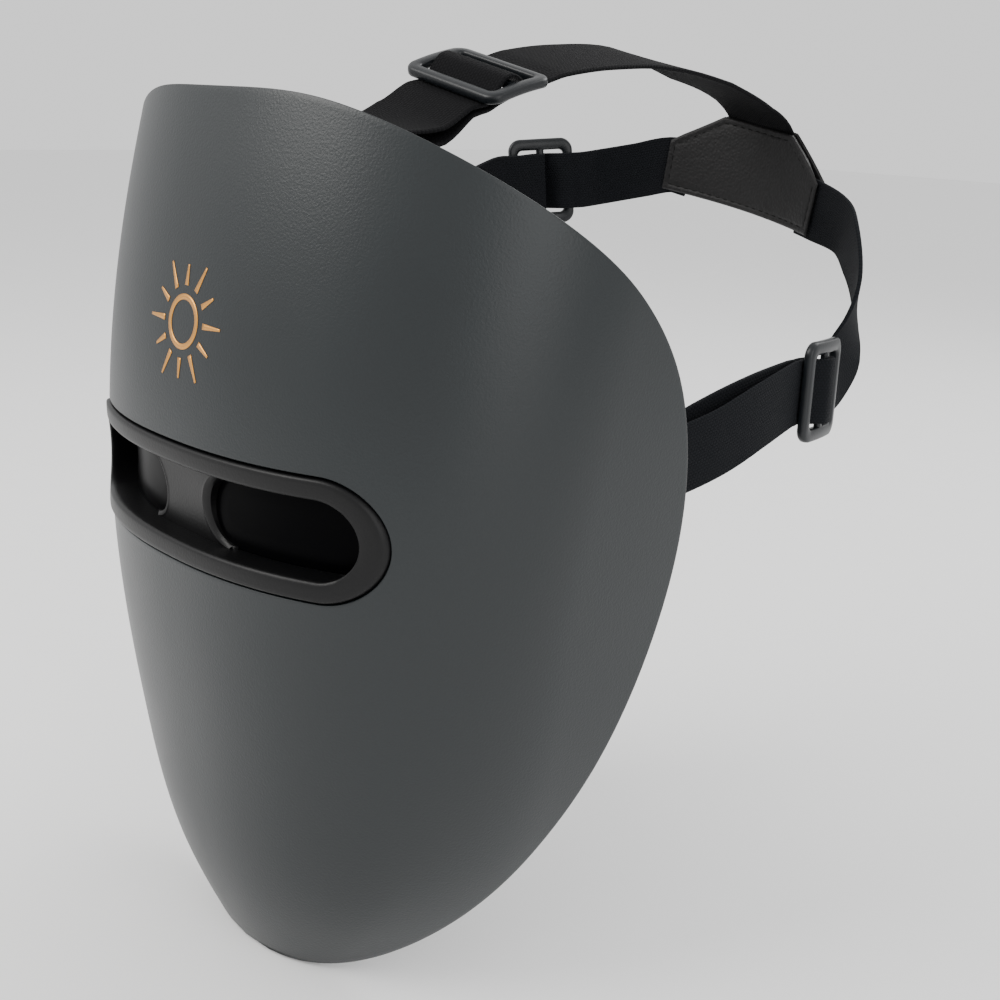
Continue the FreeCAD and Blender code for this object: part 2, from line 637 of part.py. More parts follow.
# ---- slider buckles: rounded frames with a centre bar ----
def slider(label, strap_alias, centre, along, outward):
    """Local X across the strap, local Y along it towards the yoke, local Z outwards."""
    body = new_body(label)
    half_wide = size(strap_alias) / 2 + 5
    half_long = size("buckle_length") / 2
    frame = new_sketch(body, "frame", "XY_Plane")
    add_polygon(frame, rectangle(-half_wide, half_wide, -half_long, half_long))
    frame_pad = pad_sketch(body, frame, "pad", "buckle_thick")
    frame_pad.SideType = "Symmetric"
    windows = new_sketch(body, "windows", "XY_Plane")
    wide = size(strap_alias) / 2 + 1.2
    near = size("buckle_bar") / 2
    far = half_long - size("buckle_rail")
    for side in (-1, 1):
        add_polygon(windows, rectangle(-wide, wide, side * near, side * far))
    cut = pocket_sketch(body, windows, "windows_cut", 20)
    cut.SideType = "Symmetric"
    doc.recompute()
    fillet = body.newObject("PartDesign::Fillet", f"{label}_round")
    edges = []
    for i, edge in enumerate(cut.Shape.Edges):
        box = edge.BoundBox
        if box.XLength < 1e-6 and box.YLength < 1e-6 and abs(abs(box.Center.x) - half_wide) < 0.01:
            edges.append(f"Edge{i + 1}")
    fillet.Base = (cut, edges)
    fillet.Radius = 4
    across = V(along).cross(V(outward)).normalize()
    level_along = V(outward).cross(across).normalize()
    turn = FreeCAD.Rotation(across, level_along, V(outward), "ZYX")
    body.Placement = FreeCAD.Placement(centre, turn)
    return body


SLIDERS = {
    "top": (V(0, 60.5, 103.4), V(0, 0.963, 0.27), V(0.22, -0.27, 0.93)),
    "left": (V(70, 131.8, 21.4), V(-0.25, 0.96, -0.02), V(0.96, 0.25, 0)),
    "right": (V(-58.7, 140.9, 69.9), V(0.52, 0.85, 0.08), V(-0.85, 0.52, 0)),
}
STRAP_ALIAS = {"top": "top_strap_width", "left": "side_strap_width", "right": "side_strap_width"}
slider_frames = {}
for name, (centre, along, outward) in SLIDERS.items():
    buckle = slider(f"{name}_buckle", STRAP_ALIAS[name], centre, along, outward)
    exports.append(buckle)
    slider_frames[name] = buckle.Placement


# ---- head yoke: two leather-like layers that hold the three strap ends between them ----
YOKE_CENTRE = V(0, 183, 74.5)
YOKE_ROLL = 9.5
YOKE_RADIUS = 90
YOKE_HALF = 32
YOKE_TOP_HALF = 14.2
YOKE_TOP = 17.6
YOKE_SIDE_TOP = 6
YOKE_BOTTOM = -11.4
YOKE_SWEEP = 40
yoke_place = FreeCAD.Placement(YOKE_CENTRE, FreeCAD.Rotation(V(0, 1, 0), YOKE_ROLL))
STRAP_ROOM = size("strap_thick") + 0.1


def yoke_layer(label, outer_drop, shrink):
    """A bent six-sided patch; its outermost point is outer_drop in front of the yoke centre."""
    body = new_body(label)
    plan = new_sketch(body, "plan", "XY_Plane")
    outer = YOKE_RADIUS - outer_drop
    inner = outer - size("yoke_layer")
    middle = V(0, -YOKE_RADIUS, 0)
    start = math.radians(90 - YOKE_SWEEP)
    stop = math.radians(90 + YOKE_SWEEP)
    axis = V(0, 0, 1)
    plan.addGeometry(Part.ArcOfCircle(Part.Circle(middle, axis, outer), start, stop), False)
    plan.addGeometry(Part.ArcOfCircle(Part.Circle(middle, axis, inner), start, stop), False)
    for angle in (start, stop):
        ray = V(math.cos(angle), math.sin(angle), 0)
        plan.addGeometry(Part.LineSegment(middle + ray * inner, middle + ray * outer), False)
    pad = pad_sketch(body, plan, "pad", "yoke_layer")
    pad.setExpression("Length", None)
    pad.Length = 80
    pad.SideType = "Symmetric"
    shape = new_sketch(body, "hexagon", "XZ_Plane")
    side = YOKE_HALF - shrink
    low = YOKE_BOTTOM + shrink
    high = YOKE_TOP - shrink
    corners = [V(-side, low, 0), V(side, low, 0), V(side, YOKE_SIDE_TOP, 0),
               V(YOKE_TOP_HALF, high, 0), V(-YOKE_TOP_HALF, high, 0), V(-side, YOKE_SIDE_TOP, 0)]
    add_polygon(shape, corners)
    add_frame(shape, FAR, -FAR, FAR)
    pocket_both_ways(body, shape, "hexagon")
    body.Placement = yoke_place
    return body


exports.append(yoke_layer("yoke_outer", 0, 0))
exports.append(yoke_layer("yoke_lining", size("yoke_layer") + STRAP_ROOM, 0.6))
STRAP_DROP = size("yoke_layer") + STRAP_ROOM / 2


def yoke_point(across, up, drop=STRAP_DROP):
    """World place of a point on the strap layer inside the yoke."""
    radius = YOKE_RADIUS - drop
    return yoke_place.multVec(V(across, math.sqrt(radius**2 - across**2) - YOKE_RADIUS, up))


# ---- straps: elastic webbing from the yoke, over the slider's bar, round the anchor and back ----
def slider_points(name, stations):
    frame = slider_frames[name]
    return [frame.multVec(V(0, along, lift)) for along, lift in stations]


def wrap_points(name, pull, side):
    """Half turn round the anchor's bar; pull is the way the strap leaves, side its first layer."""
    bar = anchor_data[name][1]
    room = 0.5 + size("strap_thick") / 2
    square = 0.6
    face = size("anchor_thick") / 2 + room
    edge = (size("anchor_loop") - 3 - size("anchor_slot")) / 2 + room
    lift, deep = (edge, face) if name == "top" else (face, edge)
    points = []
    for angle in (90, 45, 0, -45, -90):
        turn = math.radians(angle)
        sideways = math.copysign(abs(math.sin(turn)) ** square, turn) * lift
        inwards = abs(math.cos(turn)) ** square * deep
        points.append(bar + side * sideways - pull * inwards)
    return points


def strap_ribbon(label, width, rows):
    """Loft of thin rectangles along smoothed rows of (point, across)."""
    points = [row[0] for row in rows]
    steps = 2
    stations = []
    for i in range(len(rows) - 1):
        before = points[max(i - 1, 0)]
        after = points[min(i + 2, len(rows) - 1)]
        reach = (points[i + 1] - points[i]).Length
        slope_a = (points[i + 1] - before) * (reach / max((points[i + 1] - before).Length, 0.01))
        slope_b = (after - points[i]) * (reach / max((after - points[i]).Length, 0.01))
        for j in range(steps):
            u = j / steps
            spot = (points[i] * (2 * u**3 - 3 * u**2 + 1) + slope_a * (u**3 - 2 * u**2 + u)
                    + points[i + 1] * (3 * u**2 - 2 * u**3) + slope_b * (u**3 - u**2))
            stations.append((spot, rows[i][1] * (1 - u) + rows[i + 1][1] * u))
    stations.append(rows[-1])
    half = size("strap_thick") / 2
    wires = []
    for i, (spot, across) in enumerate(stations):
        ahead = stations[min(i + 1, len(stations) - 1)][0] - stations[max(i - 1, 0)][0]
        ahead.normalize()
        side = V(across)
        side = side - ahead * side.dot(ahead)
        side.normalize()
        lift = ahead.cross(side) * half
        side = side * (width / 2)
        corners = [spot - side - lift, spot + side - lift, spot + side + lift, spot - side + lift]
        wires.append(Part.makePolygon(corners + [corners[0]]))
    solid = Part.makeLoft(wires, True, True)
    if solid.Volume < 0:
        solid.reverse()
    return feature(label, solid)


OVER_BAR = [(14, -2.3), (11.2, -2.45), (7.7, -2.55), (4.6, 0), (1.9, 2.35), (0, 2.7),
            (-1.9, 2.35), (-4.6, 0), (-7.7, -2.55), (-11.2, -2.45), (-14, -2.4)]
UNDER_BAR = [(-14, -4.6), (-11.2, -4.3), (-7.7, -4.3), (-4.2, -3.5), (0.8, -2.7)]
UP = V(0, 0, 1)
ACROSS = V(1, 0, 0)
rise = V(0, TOP_LEAN, 1).normalize()
away = V(0, 1, -TOP_LEAN).normalize()
rolled = slider_frames["top"].Rotation.multVec(V(1, 0, 0))
if rolled.x < 0:
    rolled = rolled * -1
yoke_across = yoke_place.Rotation.multVec(V(1, 0, 0))
yoke_up = yoke_place.Rotation.multVec(V(0, 0, 1))

top_wrap = wrap_points("top", away, rise)
top_rows = [(yoke_point(0, 9), yoke_across), (yoke_point(0, 16), yoke_across),
            (V(1.5, 172, 98), yoke_across), (V(0.5, 151.5, 104.5), yoke_across * 0.5 + ACROSS * 0.5),
            (V(0, 123.6, 110), rolled), (V(0, 100, 109.5), rolled), (V(0, 82, 107.2), rolled)]
top_rows += [(point, rolled) for point in slider_points("top", OVER_BAR)]
top_rows += [(V(0, 38, 92.3), rolled), (V(0, 22, 88.6), ACROSS), (V(0, 4, 87.6), ACROSS)]
top_rows += [(point, ACROSS) for point in top_wrap]
top_rows += [(V(0, 4, 81.8), ACROSS), (V(0, 22, 84), ACROSS), (V(0, 38, 88.5), rolled)]
top_rows += [(point, rolled) for point in slider_points("top", UNDER_BAR)]
exports.append(strap_ribbon("top_strap", size("top_strap_width"), top_rows))

left_upright = slider_frames["left"].Rotation.multVec(V(1, 0, 0))
if left_upright.z < 0:
    left_upright = left_upright * -1
left_outwards = V(1, 0, -WALL_LEAN).normalize()
left_bar_across = V(WALL_LEAN, 0, 1).normalize()
left_wrap = wrap_points("left", V(0, 1, 0), left_outwards)
lean = V(0, -0.2, 1)
left_rows = [(yoke_point(24, -2.7), yoke_up), (yoke_point(31, -2.7), yoke_up),
             (V(44, 171, 63.2), yoke_up * 0.8 + V(0.3, -0.3, 0)), (V(53.5, 163.8, 57), V(0.5, -0.45, 0.75)),
             (V(60.5, 158.3, 47.5), V(0.5, -0.6, 0.55)), (V(63, 154.5, 38), V(0.25, -0.5, 0.8)),
             (V(63.4, 151, 29), V(0, -0.2, 1)), (V(63.6, 147.9, 22.5), left_upright)]
left_rows += [(point, left_upright) for point in slider_points("left", OVER_BAR)]
left_rows += [(V(74.5, 100, 18.5), V(0, -0.12, 1)), (V(74.5, 84, 13.5), lean),
              (V(72.6, 68, 9.5), lean * 0.5 + UP)]
left_rows += [(point, left_bar_across) for point in left_wrap]
left_rows += [(V(67.8, 68, 10), lean * 0.5 + UP), (V(69.5, 84, 15.5), lean),
              (V(71, 100, 20), V(0, -0.12, 1))]
left_rows += [(point, left_upright) for point in slider_points("left", UNDER_BAR)]
exports.append(strap_ribbon("left_strap", size("side_strap_width"), left_rows))

right_upright = slider_frames["right"].Rotation.multVec(V(1, 0, 0))
if right_upright.z < 0:
    right_upright = right_upright * -1
right_outwards = V(-1, 0, -WALL_LEAN).normalize()
right_bar_across = V(-WALL_LEAN, 0, 1).normalize()
right_wrap = wrap_points("right", V(0, 1, 0), right_outwards)
steep = V(0, -0.6, 0.8)
right_rows = [(yoke_point(-24, -2.7), yoke_up), (yoke_point(-31, -2.7), yoke_up),
              (V(-40, 169.5, 74.6), yoke_up), (V(-47.5, 160, 72.2), right_upright)]
right_rows += [(point, right_upright) for point in slider_points("right", OVER_BAR)]
right_rows += [(V(-70.5, 117, 62), V(0, -0.4, 0.9)), (V(-73, 101, 48), steep), (V(-73.5, 84, 30), steep),
               (V(-72.6, 68, 14), V(0, -0.35, 0.9))]
right_rows += [(point, right_bar_across) for point in right_wrap]
right_rows += [(V(-67.6, 68, 14.5), V(0, -0.35, 0.9)), (V(-69, 84, 31), steep), (V(-69, 101, 49.5), steep),
               (V(-67, 116, 62.5), V(0, -0.4, 0.9))]
right_rows += [(point, right_upright) for point in slider_points("right", UNDER_BAR)]
exports.append(strap_ribbon("right_strap", size("side_strap_width"), right_rows))

doc.recompute()

# ---- check and write ----
for item in doc.Objects:
    if "Invalid" in item.State or "Error" in item.State:
        raise RuntimeError(f"{item.Label} is {item.State}")
for item in exports:
    shape = item.Shape
    if shape.isNull() or not shape.isValid() or shape.Volume <= 0:
        raise RuntimeError(f"{item.Label} has no sound solid")
os.makedirs("parts", exist_ok=True)
for item in exports:
    item.Shape.exportStep(f"parts/{item.Label}.step")
    print(item.Label, len(item.Shape.Solids), "solids", round(item.Shape.Volume), "mm3")
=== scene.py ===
import json
import math
import bpy
import bmesh
from mathutils import Vector, Matrix


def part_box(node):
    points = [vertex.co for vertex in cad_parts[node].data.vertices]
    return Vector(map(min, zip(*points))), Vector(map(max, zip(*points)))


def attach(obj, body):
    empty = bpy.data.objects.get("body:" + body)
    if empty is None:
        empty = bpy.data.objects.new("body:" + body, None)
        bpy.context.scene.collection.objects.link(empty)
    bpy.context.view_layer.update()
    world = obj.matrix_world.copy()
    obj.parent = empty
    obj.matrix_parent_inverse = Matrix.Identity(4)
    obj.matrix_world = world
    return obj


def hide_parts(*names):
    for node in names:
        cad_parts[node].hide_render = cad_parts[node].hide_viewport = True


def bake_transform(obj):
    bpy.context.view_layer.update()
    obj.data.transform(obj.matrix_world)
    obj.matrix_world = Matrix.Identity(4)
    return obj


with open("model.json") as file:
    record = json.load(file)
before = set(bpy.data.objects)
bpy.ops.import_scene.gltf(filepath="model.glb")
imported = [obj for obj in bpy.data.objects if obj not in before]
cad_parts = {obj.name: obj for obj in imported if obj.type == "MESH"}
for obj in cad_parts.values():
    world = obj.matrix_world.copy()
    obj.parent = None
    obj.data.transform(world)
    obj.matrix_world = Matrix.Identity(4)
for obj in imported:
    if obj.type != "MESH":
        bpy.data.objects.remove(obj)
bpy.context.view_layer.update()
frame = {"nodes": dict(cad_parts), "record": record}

MM = 0.001
MERGE_GAP = 1e-6

# ---------------------------------------------------------------- shell form (millimetres)
HEIGHTS = [-137.0, -109.8, -74.8, -29.8, 20.2, 65.2, 105.2]
HALF_WIDTHS = [39.5, 58.0, 72.2, 80.3, 85.7, 87.6, 87.1]
FRONTS = [-12.6, -23.8, -30.2, -35.0, -34.6, -28.2, -18.9]
DEPTH_TOP = 71.7
DEPTH_BOTTOM = 55.2
ROUNDNESS = 2.256
RIM_DEPTHS = [55.8, 76.6, 88.1, 95.6, 97.5, 82.8, 25.8]
SHELL_TOP = 98.5
SHELL_BOTTOM = -130.9
SHELL_WALL = 2.2
PANEL_OUTER = 9.0
PANEL_INNER = 10.8
PANEL_WALL = 1.8
PANEL_HOLE = (60.9, 11.6)
WINDOW_HALF = (64.9, 15.2)
BEZEL_HALF = (64.4, 14.7)
DUCT_HALF = (58.9, 9.6)
BRIDGE_HALF = 10.0
EYE_X = (DUCT_HALF[0] + BRIDGE_HALF) / 2
EYE_HALF = DUCT_HALF[0] - EYE_X


def spline_bends(xs, ys):
    """Second derivatives, at its stations, of the natural cubic spline through them."""
    n = len(xs)
    low = [0.0] * n
    mid = [1.0] * n
    top = [0.0] * n
    right = [0.0] * n
    for i in range(1, n - 1):
        before = xs[i] - xs[i - 1]
        after = xs[i + 1] - xs[i]
        low[i] = before
        mid[i] = 2 * (before + after)
        top[i] = after
        right[i] = 6 * ((ys[i + 1] - ys[i]) / after - (ys[i] - ys[i - 1]) / before)
    for i in range(1, n):
        share = low[i] / mid[i - 1]
        mid[i] -= share * top[i - 1]
        right[i] -= share * right[i - 1]
    bend = [0.0] * n
    bend[-1] = right[-1] / mid[-1]
    for i in range(n - 2, -1, -1):
        bend[i] = (right[i] - top[i] * bend[i + 1]) / mid[i]
    return bend


def smooth_curve(xs, ys):
    """A natural cubic spline as a function, straight on beyond its ends."""
    bend = spline_bends(xs, ys)

    def value(at):
        i = 0
        while i < len(xs) - 2 and at > xs[i + 1]:
            i += 1
        step = xs[i + 1] - xs[i]
        a = (xs[i + 1] - at) / step
        b = (at - xs[i]) / step
        return (a * ys[i] + b * ys[i + 1]
                + ((a**3 - a) * bend[i] + (b**3 - b) * bend[i + 1]) * step * step / 6)
    return value


half_width_at = smooth_curve(HEIGHTS, HALF_WIDTHS)
front_at = smooth_curve(HEIGHTS, FRONTS)
rim_depth_at = smooth_curve([i / 6 for i in range(7)], RIM_DEPTHS)


def section_numbers(height, offset):
    rise = (height - HEIGHTS[0]) / (HEIGHTS[-1] - HEIGHTS[0])
    depth = DEPTH_BOTTOM + (DEPTH_TOP - DEPTH_BOTTOM) * rise
    return half_width_at(height) - offset, front_at(height) + offset, depth - offset


def skin_at(x, height, offset):
    """Place on the form, in metres, seen straight from the front at x and height."""
    half, front, depth = section_numbers(height, offset)
    share = min(abs(x) / half, 1.0)
    y = front + depth - depth * (1 - share**ROUNDNESS) ** (1 / ROUNDNESS)
    return Vector((x, y, height)) * MM


def skin_normal(x, height, offset):
    tiny = 0.4
    across = skin_at(x + tiny, height, offset) - skin_at(x - tiny, height, offset)
    rise = skin_at(x, height + tiny, offset) - skin_at(x, height - tiny, offset)
    normal = across.cross(rise).normalized()
    return normal if normal.y < 0 else -normal


def section_walk(height, offset, rear):
    """Half section from the centre plane to the rear edge as (length, x, y) stops."""
    half, front, depth = section_numbers(height, offset)
    stops = []
    steps = 160
    length = 0.0
    before = None
    for i in range(steps + 1):
        turn = (math.pi / 2) * (i / steps) ** 1.25
        x = half * math.sin(turn) ** (2 / ROUNDNESS)
        y = front + depth - depth * max(math.cos(turn), 0.0) ** (2 / ROUNDNESS)
        if before is not None:
            if y >= rear:
                share = (rear - before[1]) / max(y - before[1], 1e-9)
                x = before[0] + (x - before[0]) * share
                y = rear
            length += math.hypot(x - before[0], y - before[1])
        stops.append((length, x, y))
        before = (x, y)
        if y >= rear:
            return stops
    stops.append((length + rear - before[1], before[0], rear))
    return stops


def point_on_walk(stops, share):
    goal = stops[-1][0] * share
    low = 0
    high = len(stops) - 1
    while high - low > 1:
        middle = (low + high) // 2
        if stops[middle][0] <= goal:
            low = middle
        else:
            high = middle
    span = stops[high][0] - stops[low][0]
    part = (goal - stops[low][0]) / span if span > 1e-9 else 0.0
    return (stops[low][1] + (stops[high][1] - stops[low][1]) * part,
            stops[low][2] + (stops[high][2] - stops[low][2]) * part)


TABLE_ROWS = 240
TABLE_STOPS = 160
tables = {}


def lerp(a, b, share):
    return a + (b - a) * share


def rear_edge(height, inset):
    """Y of the rear edge at a height, moved forward by inset."""
    low = SHELL_BOTTOM + inset
    high = SHELL_TOP - inset
    share = max(0.0, min(1.0, (height - low) / (high - low)))
    return front_at(height) + (rim_depth_at(share) - inset) * math.sqrt(4 * share * (1 - share))


def sheet_ends(offset, inset):
    """Lowest and highest place where a sheet at this offset still lies in front of the rear edge."""
    found = []
    for tip in (SHELL_BOTTOM + inset, SHELL_TOP - inset):
        outside = tip
        inside = 0.0
        for _ in range(40):
            middle = (outside + inside) / 2
            if rear_edge(middle, inset) > front_at(middle) + offset + 0.05:
                inside = middle
            else:
                outside = middle
        found.append(inside)
    return found


def disc_table(offset, inset):
    """Rows of places on the form, evenly spaced by angle in height and by length across."""
    rows = []
    low, high = sheet_ends(offset, inset)
    for i in range(TABLE_ROWS + 1):
        height = lerp(low, high, (1 + math.sin(math.pi * (i / TABLE_ROWS - 0.5))) / 2)
        stops = section_walk(height, offset, rear_edge(height, inset))
        rows.append([point_on_walk(stops, k / TABLE_STOPS) for k in range(TABLE_STOPS + 1)])
    return low, high, rows


def disc_place(across, up, offset, inset=0.0):
    """Place on the form for a point of the unit disc; the disc's edge is the rear edge."""
    key = (offset, inset)
    if key not in tables:
        tables[key] = disc_table(offset, inset)
    low, high, table = tables[key]
    up = max(-1.0, min(1.0, up))
    bulge = math.sqrt(max(1 - up * up, 1e-12))
    row = (math.asin(up) / math.pi + 0.5) * TABLE_ROWS
    stop = min(abs(across) / bulge, 1.0) * TABLE_STOPS
    i = min(int(row), TABLE_ROWS - 1)
    k = min(int(stop), TABLE_STOPS - 1)
    a = row - i
    b = stop - k
    weights = {(0, 0): (1 - a) * (1 - b), (1, 0): a * (1 - b), (0, 1): (1 - a) * b, (1, 1): a * b}
    x = sum(table[i + di][k + dk][0] * weight for (di, dk), weight in weights.items())
    y = sum(table[i + di][k + dk][1] * weight for (di, dk), weight in weights.items())
    height = lerp(low, high, (1 + up) / 2)
    return Vector((math.copysign(x, across), y, height)) * MM


def disc_spot(x, height, offset, inset=0.0):
    """The point of the unit disc that lies at x and height on the form."""
    disc_place(0.0, 0.0, offset, inset)
    bottom, top, _ = tables[(offset, inset)]
    up = 2 * (height - bottom) / (top - bottom) - 1
    bulge = math.sqrt(max(1 - up * up, 1e-12))
    low = 0.0
    high = bulge
    for _ in range(30):
        middle = (low + high) / 2
        if disc_place(middle, up, offset, inset).x / MM < abs(x):
            low = middle
        else:
            high = middle
    return math.copysign(low, x), up


def stadium(share, half_long, half_high, centre=(0.0, 0.0)):
    """Point round a slot with round ends, by length, from its +X end."""
    straight = half_long - half_high
    total = 4 * straight + 2 * math.pi * half_high
    walk = (share % 1.0) * total
    quarter = math.pi * half_high / 2
    if walk < quarter:
        turn = walk / half_high
        spot = (straight + half_high * math.cos(turn), half_high * math.sin(turn))
    elif walk < quarter + 2 * straight:
        spot = (straight - (walk - quarter), half_high)
    elif walk < 3 * quarter + 2 * straight:
        turn = math.pi / 2 + (walk - quarter - 2 * straight) / half_high
        spot = (-straight + half_high * math.cos(turn), half_high * math.sin(turn))
    elif walk < 3 * quarter + 4 * straight:
        spot = (-straight + (walk - 3 * quarter - 2 * straight), -half_high)
    else:
        turn = 1.5 * math.pi + (walk - 3 * quarter - 4 * straight) / half_high
        spot = (straight + half_high * math.cos(turn), half_high * math.sin(turn))
    return spot[0] + centre[0], spot[1] + centre[1]


# ---------------------------------------------------------------- modelling helpers
def deselect():
    for obj in bpy.context.selected_objects:
        obj.select_set(False)


def make_active(obj):
    deselect()
    obj.select_set(True)
    bpy.context.view_layer.objects.active = obj


def apply_modifier(obj, kind, **settings):
    make_active(obj)
    modifier = obj.modifiers.new(kind.lower(), kind)
    for key, value in settings.items():
        setattr(modifier, key, value)
    bpy.ops.object.modifier_apply(modifier=modifier.name)


def edit(obj, *steps):
    """Run edit-mode operators on the whole mesh."""
    make_active(obj)
    bpy.ops.object.mode_set(mode="EDIT")
    bpy.ops.mesh.select_all(action="SELECT")
    for operator, settings in steps:
        operator(**settings)
    bpy.ops.object.mode_set(mode="OBJECT")


def grid_piece(name, columns, rows, place, close=False):
    """A grid primitive whose corners are carried to place(u, v); u and v run from 0 to 1."""
    deselect()
    bpy.ops.mesh.primitive_grid_add(x_subdivisions=columns, y_subdivisions=rows, size=2, calc_uvs=True)
    obj = bpy.context.active_object
    obj.name = name
    obj.data.name = name
    for vertex in obj.data.vertices:
        u = (vertex.co.x + 1) / 2
        v = (vertex.co.y + 1) / 2
        vertex.co = place(u, v)
    if close:
        edit(obj, (bpy.ops.mesh.remove_doubles, {"threshold": MERGE_GAP}),
             (bpy.ops.mesh.normals_make_consistent, {"inside": False}))
    smooth(obj)
    return obj


def smooth(obj, angle=35):
    make_active(obj)
    bpy.ops.object.shade_smooth_by_angle(angle=math.radians(angle))


def join(name, objects):
    make_active(objects[0])
    for obj in objects[1:]:
        obj.select_set(True)
    bpy.ops.object.join()
    joined = bpy.context.active_object
    joined.name = name
    joined.data.name = name
    return joined


def settle(obj):
    """Put the object's place and turn into its mesh."""
    make_active(obj)
    bpy.ops.object.transform_apply(location=True, rotation=True, scale=True)


def face_out(obj):
    edit(obj, (bpy.ops.mesh.normals_make_consistent, {"inside": False}))


def fill_loop(obj, spots, span):
    """Close the open loop through these places with a curved patch of quads."""
    keys = {tuple(round(value, 6) for value in spot) for spot in spots}
    make_active(obj)
    for vertex in obj.data.vertices:
        vertex.select = tuple(round(value, 6) for value in vertex.co) in keys
    for edge in obj.data.edges:
        edge.select = all(obj.data.vertices[end].select for end in edge.vertices)
    for polygon in obj.data.polygons:
        polygon.select = False
    bpy.ops.object.mode_set(mode="EDIT")
    bpy.ops.mesh.fill_grid(span=span)
    bpy.ops.object.mode_set(mode="OBJECT")


def refined(node, name, angle=30, bevel=0.0, segments=2):
    """A welded, smooth-shaded copy of a CAD node that stands for it."""
    source = bpy.data.objects[node]
    obj = source.copy()
    obj.data = source.data.copy()
    obj.name = name
    obj.data.name = name
    bpy.context.scene.collection.objects.link(obj)
    for key in list(obj.keys()):
        del obj[key]
    edit(obj, (bpy.ops.mesh.remove_doubles, {"threshold": MERGE_GAP}),
         (bpy.ops.mesh.dissolve_limited, {"angle_limit": math.radians(1.0)}))
    if bevel:
        apply_modifier(obj, "BEVEL", width=bevel * MM, segments=segments, limit_method="ANGLE",
                       angle_limit=math.radians(40), use_clamp_overlap=True)
    smooth(obj, angle)
    return obj


def finish_piece(obj, material, body, slot, *nodes):
    obj.data.materials.clear()
    obj.data.materials.append(material)
    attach(obj, body)
    if nodes:
        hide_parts(*nodes)
    return obj


# ---------------------------------------------------------------- materials
def new_group(name, inputs, outputs):
    group = bpy.data.node_groups.new(name, "ShaderNodeTree")
    for label, kind, value in inputs:
        socket = group.interface.new_socket(label, in_out="INPUT", socket_type=kind)
        if value is not None:
            socket.default_value = value
    for label, kind in outputs:
        group.interface.new_socket(label, in_out="OUTPUT", socket_type=kind)
    return group, group.nodes.new("NodeGroupInput"), group.nodes.new("NodeGroupOutput")


def math_node(tree, operation, a, b=None):
    node = tree.nodes.new("ShaderNodeMath")
    node.operation = operation
    for index, value in ((0, a), (1, b)):
        if value is None:
            continue
        if isinstance(value, (int, float)):
            node.inputs[index].default_value = value
        else:
            tree.links.new(value, node.inputs[index])
    return node.outputs[0]


def wave(tree, place):
    """Humps one unit long, from 0 to 1 and back."""
    turn = math_node(tree, "MULTIPLY", place, math.pi)
    return math_node(tree, "ABSOLUTE", math_node(tree, "SINE", turn))


def scaled_colour(tree, colour, factor):
    node = tree.nodes.new("ShaderNodeVectorMath")
    node.operation = "SCALE"
    tree.links.new(colour, node.inputs[0])
    tree.links.new(factor, node.inputs["Scale"])
    return node.outputs[0]


def fine_surface_group():
    """Fine moulded grain, faint blotches and uneven gloss."""
    group, start, end = new_group(
        "fine_surface",
        [("Place", "NodeSocketVector", None), ("Colour", "NodeSocketColor", (0.5, 0.5, 0.5, 1)),
         ("Roughness", "NodeSocketFloat", 0.5), ("Grain Scale", "NodeSocketFloat", 1500.0),
         ("Grain Height", "NodeSocketFloat", 0.1), ("Blotch", "NodeSocketFloat", 0.1)],
        [("Colour", "NodeSocketColor"), ("Roughness", "NodeSocketFloat"), ("Normal", "NodeSocketVector")])
    grain = group.nodes.new("ShaderNodeTexNoise")
    grain.inputs["Detail"].default_value = 2.0
    group.links.new(start.outputs["Place"], grain.inputs["Vector"])
    group.links.new(start.outputs["Grain Scale"], grain.inputs["Scale"])
    bump = group.nodes.new("ShaderNodeBump")
    bump.inputs["Distance"].default_value = 0.0002
    group.links.new(start.outputs["Grain Height"], bump.inputs["Strength"])
    group.links.new(grain.outputs[0], bump.inputs["Height"])
    group.links.new(bump.outputs[0], end.inputs["Normal"])
    cloud = group.nodes.new("ShaderNodeTexNoise")
    cloud.inputs["Scale"].default_value = 38.0
    cloud.inputs["Detail"].default_value = 5.0
    group.links.new(start.outputs["Place"], cloud.inputs["Vector"])
    uneven = math_node(group, "SUBTRACT", cloud.outputs[0], 0.5)
    shift = math_node(group, "MULTIPLY", uneven, start.outputs["Blotch"])
    speck = math_node(group, "MULTIPLY", math_node(group, "SUBTRACT", grain.outputs[0], 0.5),
                      math_node(group, "MULTIPLY", start.outputs["Grain Height"], 1.1))
    factor = math_node(group, "ADD", math_node(group, "ADD", 1.0, shift), speck)
    group.links.new(scaled_colour(group, start.outputs["Colour"], factor), end.inputs["Colour"])
    rough = math_node(group, "ADD", start.outputs["Roughness"], math_node(group, "MULTIPLY", shift, 0.7))
    group.links.new(rough, end.inputs["Roughness"])
    return group


